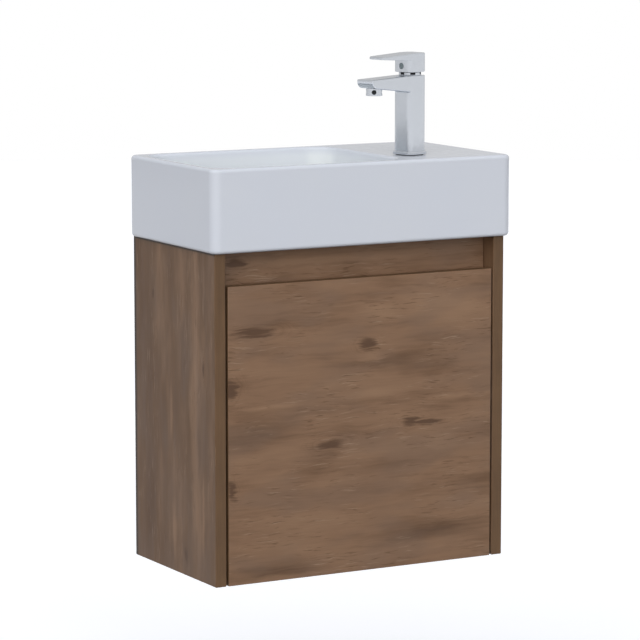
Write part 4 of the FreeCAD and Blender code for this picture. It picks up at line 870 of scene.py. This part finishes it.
class VANITY_OT_tap(bpy.types.Operator):
    """Dress the tap's body, aerator and fixings."""

    bl_idname = "vanity.tap"
    bl_label = "Tap"

    def execute(self, context):
        make_finishes(context.scene)
        parts = context.scene.vanity_fittings
        edge = parts.metal_edge
        dress("tap_base_ring", "tap_foot", "unit", "chrome", edge)
        dress("tap_body", "tap_column_and_spout", "unit", "chrome")
        dress("aerator_housing", "aerator_sleeve", "unit", "chrome", edge)
        dress("neck_ring", "tap_neck_ring", "unit", "chrome", edge)
        fill_screen("aerator_screen", "aerator_honeycomb", "unit", parts.screen_pitch)
        dress("tap_fixing_nut", "stud_nut", "unit", "brass", edge)
        dress("tap_fixing_stud", "fixing_stud", "unit", "zinc", edge)
        dress("tap_steel_washer", "horseshoe_washer", "unit", "zinc", edge)
        dress("tap_rubber_washer", "horseshoe_pad", "unit", "rubber", edge)
        paint("rubber", "tap_base_seal", "aerator_washer", "neck_seal")
        paint("brass", "cartridge_nut")
        paint("nylon", "cartridge_body", "cartridge_carrier")
        paint("zinc", "stem_pin")
        return {"FINISHED"}


class VANITY_OT_lever(bpy.types.Operator):
    """Dress the lever handle with its index cap."""

    bl_idname = "vanity.lever"
    bl_label = "Lever"

    def execute(self, context):
        make_finishes(context.scene)
        parts = context.scene.vanity_fittings
        dress("lever_handle", "lever_block_and_plate", "lever", "chrome", parts.metal_edge)
        dress("lever_index_cap", "index_cap", "lever", "cap", parts.cap_edge)
        paint("brass", "cartridge_stem")
        paint("zinc", "lever_grub_screw")
        return {"FINISHED"}


# Studio

def any_ray(tree, *kinds):
    """1 for a ray of any of these kinds, and 0 for the rest."""
    path = add_node(tree, "ShaderNodeLightPath")
    found = path.outputs[kinds[0]]
    for kind in kinds[1:]:
        found = add_node(tree, MATH, {0: found, 1: path.outputs[kind]}, operation="MAXIMUM")
    return found


def studio_world(studio):
    """White to the eye, pale in reflections, and an even soft light on everything else.

    Reflections see a pale room in front of the unit and a pale grey wall behind it.
    """
    world = bpy.data.worlds.new("white_studio")
    world.use_nodes = True
    tree = world.node_tree
    tree.nodes.clear()
    eye = any_ray(tree, "Is Camera Ray", "Is Transmission Ray")
    seen = any_ray(tree, "Is Camera Ray", "Is Transmission Ray", "Is Glossy Ray")
    # The room gives way to the wall where a ray goes to the back
    way = add_node(tree, "ShaderNodeTexCoord")
    split = add_node(tree, SPLIT, {0: way.outputs["Generated"]})
    room = add_node(tree, RANGE, {0: split.outputs["Y"], 1: -0.1, 2: 0.85, 3: studio.room, 4: studio.wall},
                    interpolation_type="SMOOTHSTEP")
    level = add_node(tree, MATH, {0: eye, 1: room}, operation="MAXIMUM")
    even = add_node(tree, "ShaderNodeBackground", {"Color": rgba(studio.sky_tint), "Strength": studio.sky})
    white = add_node(tree, "ShaderNodeBackground", {"Color": rgba(WHITE), "Strength": level})
    shown = add_node(tree, "ShaderNodeMixShader", {0: seen, 1: even, 2: white})
    add_node(tree, "ShaderNodeOutputWorld", {"Surface": shown})
    return world


def pale_floor_finish(studio):
    """Matt white floor paint: white to the eye, with the object's soft shadow, and a grey bounce."""
    material, tree = new_finish("matt_white_floor")
    seen = any_ray(tree, "Is Camera Ray", "Is Glossy Ray", "Is Transmission Ray")
    tone = add_node(tree, MIX, {0: seen, 6: rgba(WHITE, studio.floor_bounce),
                                7: rgba(WHITE, studio.floor_white)}, data_type="RGBA")
    glow = add_node(tree, MATH, {0: seen, 1: studio.floor_glow}, operation="MULTIPLY")
    return surfaced(material, {"Base Color": tone, "Roughness": 1.0, "Specular IOR Level": 0.0,
                               "Emission Color": rgba(WHITE), "Emission Strength": glow})


class VANITY_OT_stage(bpy.types.Operator):
    """Set up the floor, the light and the camera."""

    bl_idname = "vanity.stage"
    bl_label = "Stage"

    def execute(self, context):
        scene = context.scene
        studio = scene.vanity_studio
        scene.world = studio_world(studio)
        level = CAD_BOX[0][2] - studio.floor_drop
        work = bmesh.new()
        bmesh.ops.create_circle(work, cap_ends=True, segments=96, radius=studio.floor_reach)
        bmesh.ops.translate(work, verts=work.verts, vec=(0.0, 0.0, level))
        mesh = plain_mesh("studio_floor", work, pale_floor_finish(studio))
        floor = bpy.data.objects.new("studio_floor", mesh)
        scene.collection.objects.link(floor)

        lamp = bpy.data.lights.new("soft_key", "SUN")
        lamp.energy = studio.key
        lamp.angle = studio.key_spread
        key = bpy.data.objects.new("soft_key", lamp)
        key.rotation_euler = Vector(studio.key_way).to_track_quat("Z", "Y").to_euler()
        key.visible_glossy = False
        scene.collection.objects.link(key)

        camera = bpy.data.cameras.new("photo_camera")
        camera.lens = studio.lens
        camera.sensor_width = 36.0
        camera.clip_end = 100.0
        eye = bpy.data.objects.new("photo_camera", camera)
        eye.location = studio.place
        eye.rotation_euler = (math.radians(90) - studio.tilt, 0.0, -studio.turn)
        scene.collection.objects.link(eye)
        scene.camera = eye
        scene.view_settings.view_transform = "Standard"
        return {"FINISHED"}


class VANITY_PT_sidebar(bpy.types.Panel):
    """The unit's pieces and settings in the sidebar."""

    bl_idname = "VANITY_PT_sidebar"
    bl_label = "Vanity Unit"
    bl_space_type = "VIEW_3D"
    bl_region_type = "UI"
    bl_category = "Vanity Unit"

    def draw(self, context):
        for operator in OPERATORS:
            self.layout.operator(operator.bl_idname)
        for name, group in GROUPS.items():
            box = self.layout.box()
            for setting in group.__annotations__:
                box.prop(getattr(context.scene, name), setting)


GROUPS = {"vanity_decor": VanityDecor, "vanity_fittings": VanityFittings, "vanity_studio": VanityStudio}
OPERATORS = (VANITY_OT_cabinet, VANITY_OT_door, VANITY_OT_hinges, VANITY_OT_basin, VANITY_OT_waste,
             VANITY_OT_tap, VANITY_OT_lever, VANITY_OT_stage)
CLASSES = tuple(GROUPS.values()) + OPERATORS + (VANITY_PT_sidebar,)


def register():
    """Registers the classes and ties the settings to the scene."""
    for kind in CLASSES:
        bpy.utils.register_class(kind)
    for name, group in GROUPS.items():
        setattr(bpy.types.Scene, name, bpy.props.PointerProperty(type=group))


def unregister():
    """Takes the settings off the scene and unregisters the classes."""
    for name in GROUPS:
        delattr(bpy.types.Scene, name)
    for kind in reversed(CLASSES):
        bpy.utils.unregister_class(kind)


def main():
    """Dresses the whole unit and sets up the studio."""
    register()
    bpy.ops.vanity.cabinet()
    bpy.ops.vanity.door()
    bpy.ops.vanity.hinges()
    bpy.ops.vanity.basin()
    bpy.ops.vanity.waste()
    bpy.ops.vanity.tap()
    bpy.ops.vanity.lever()
    bpy.ops.vanity.stage()


if __name__ == "__main__":
    main()
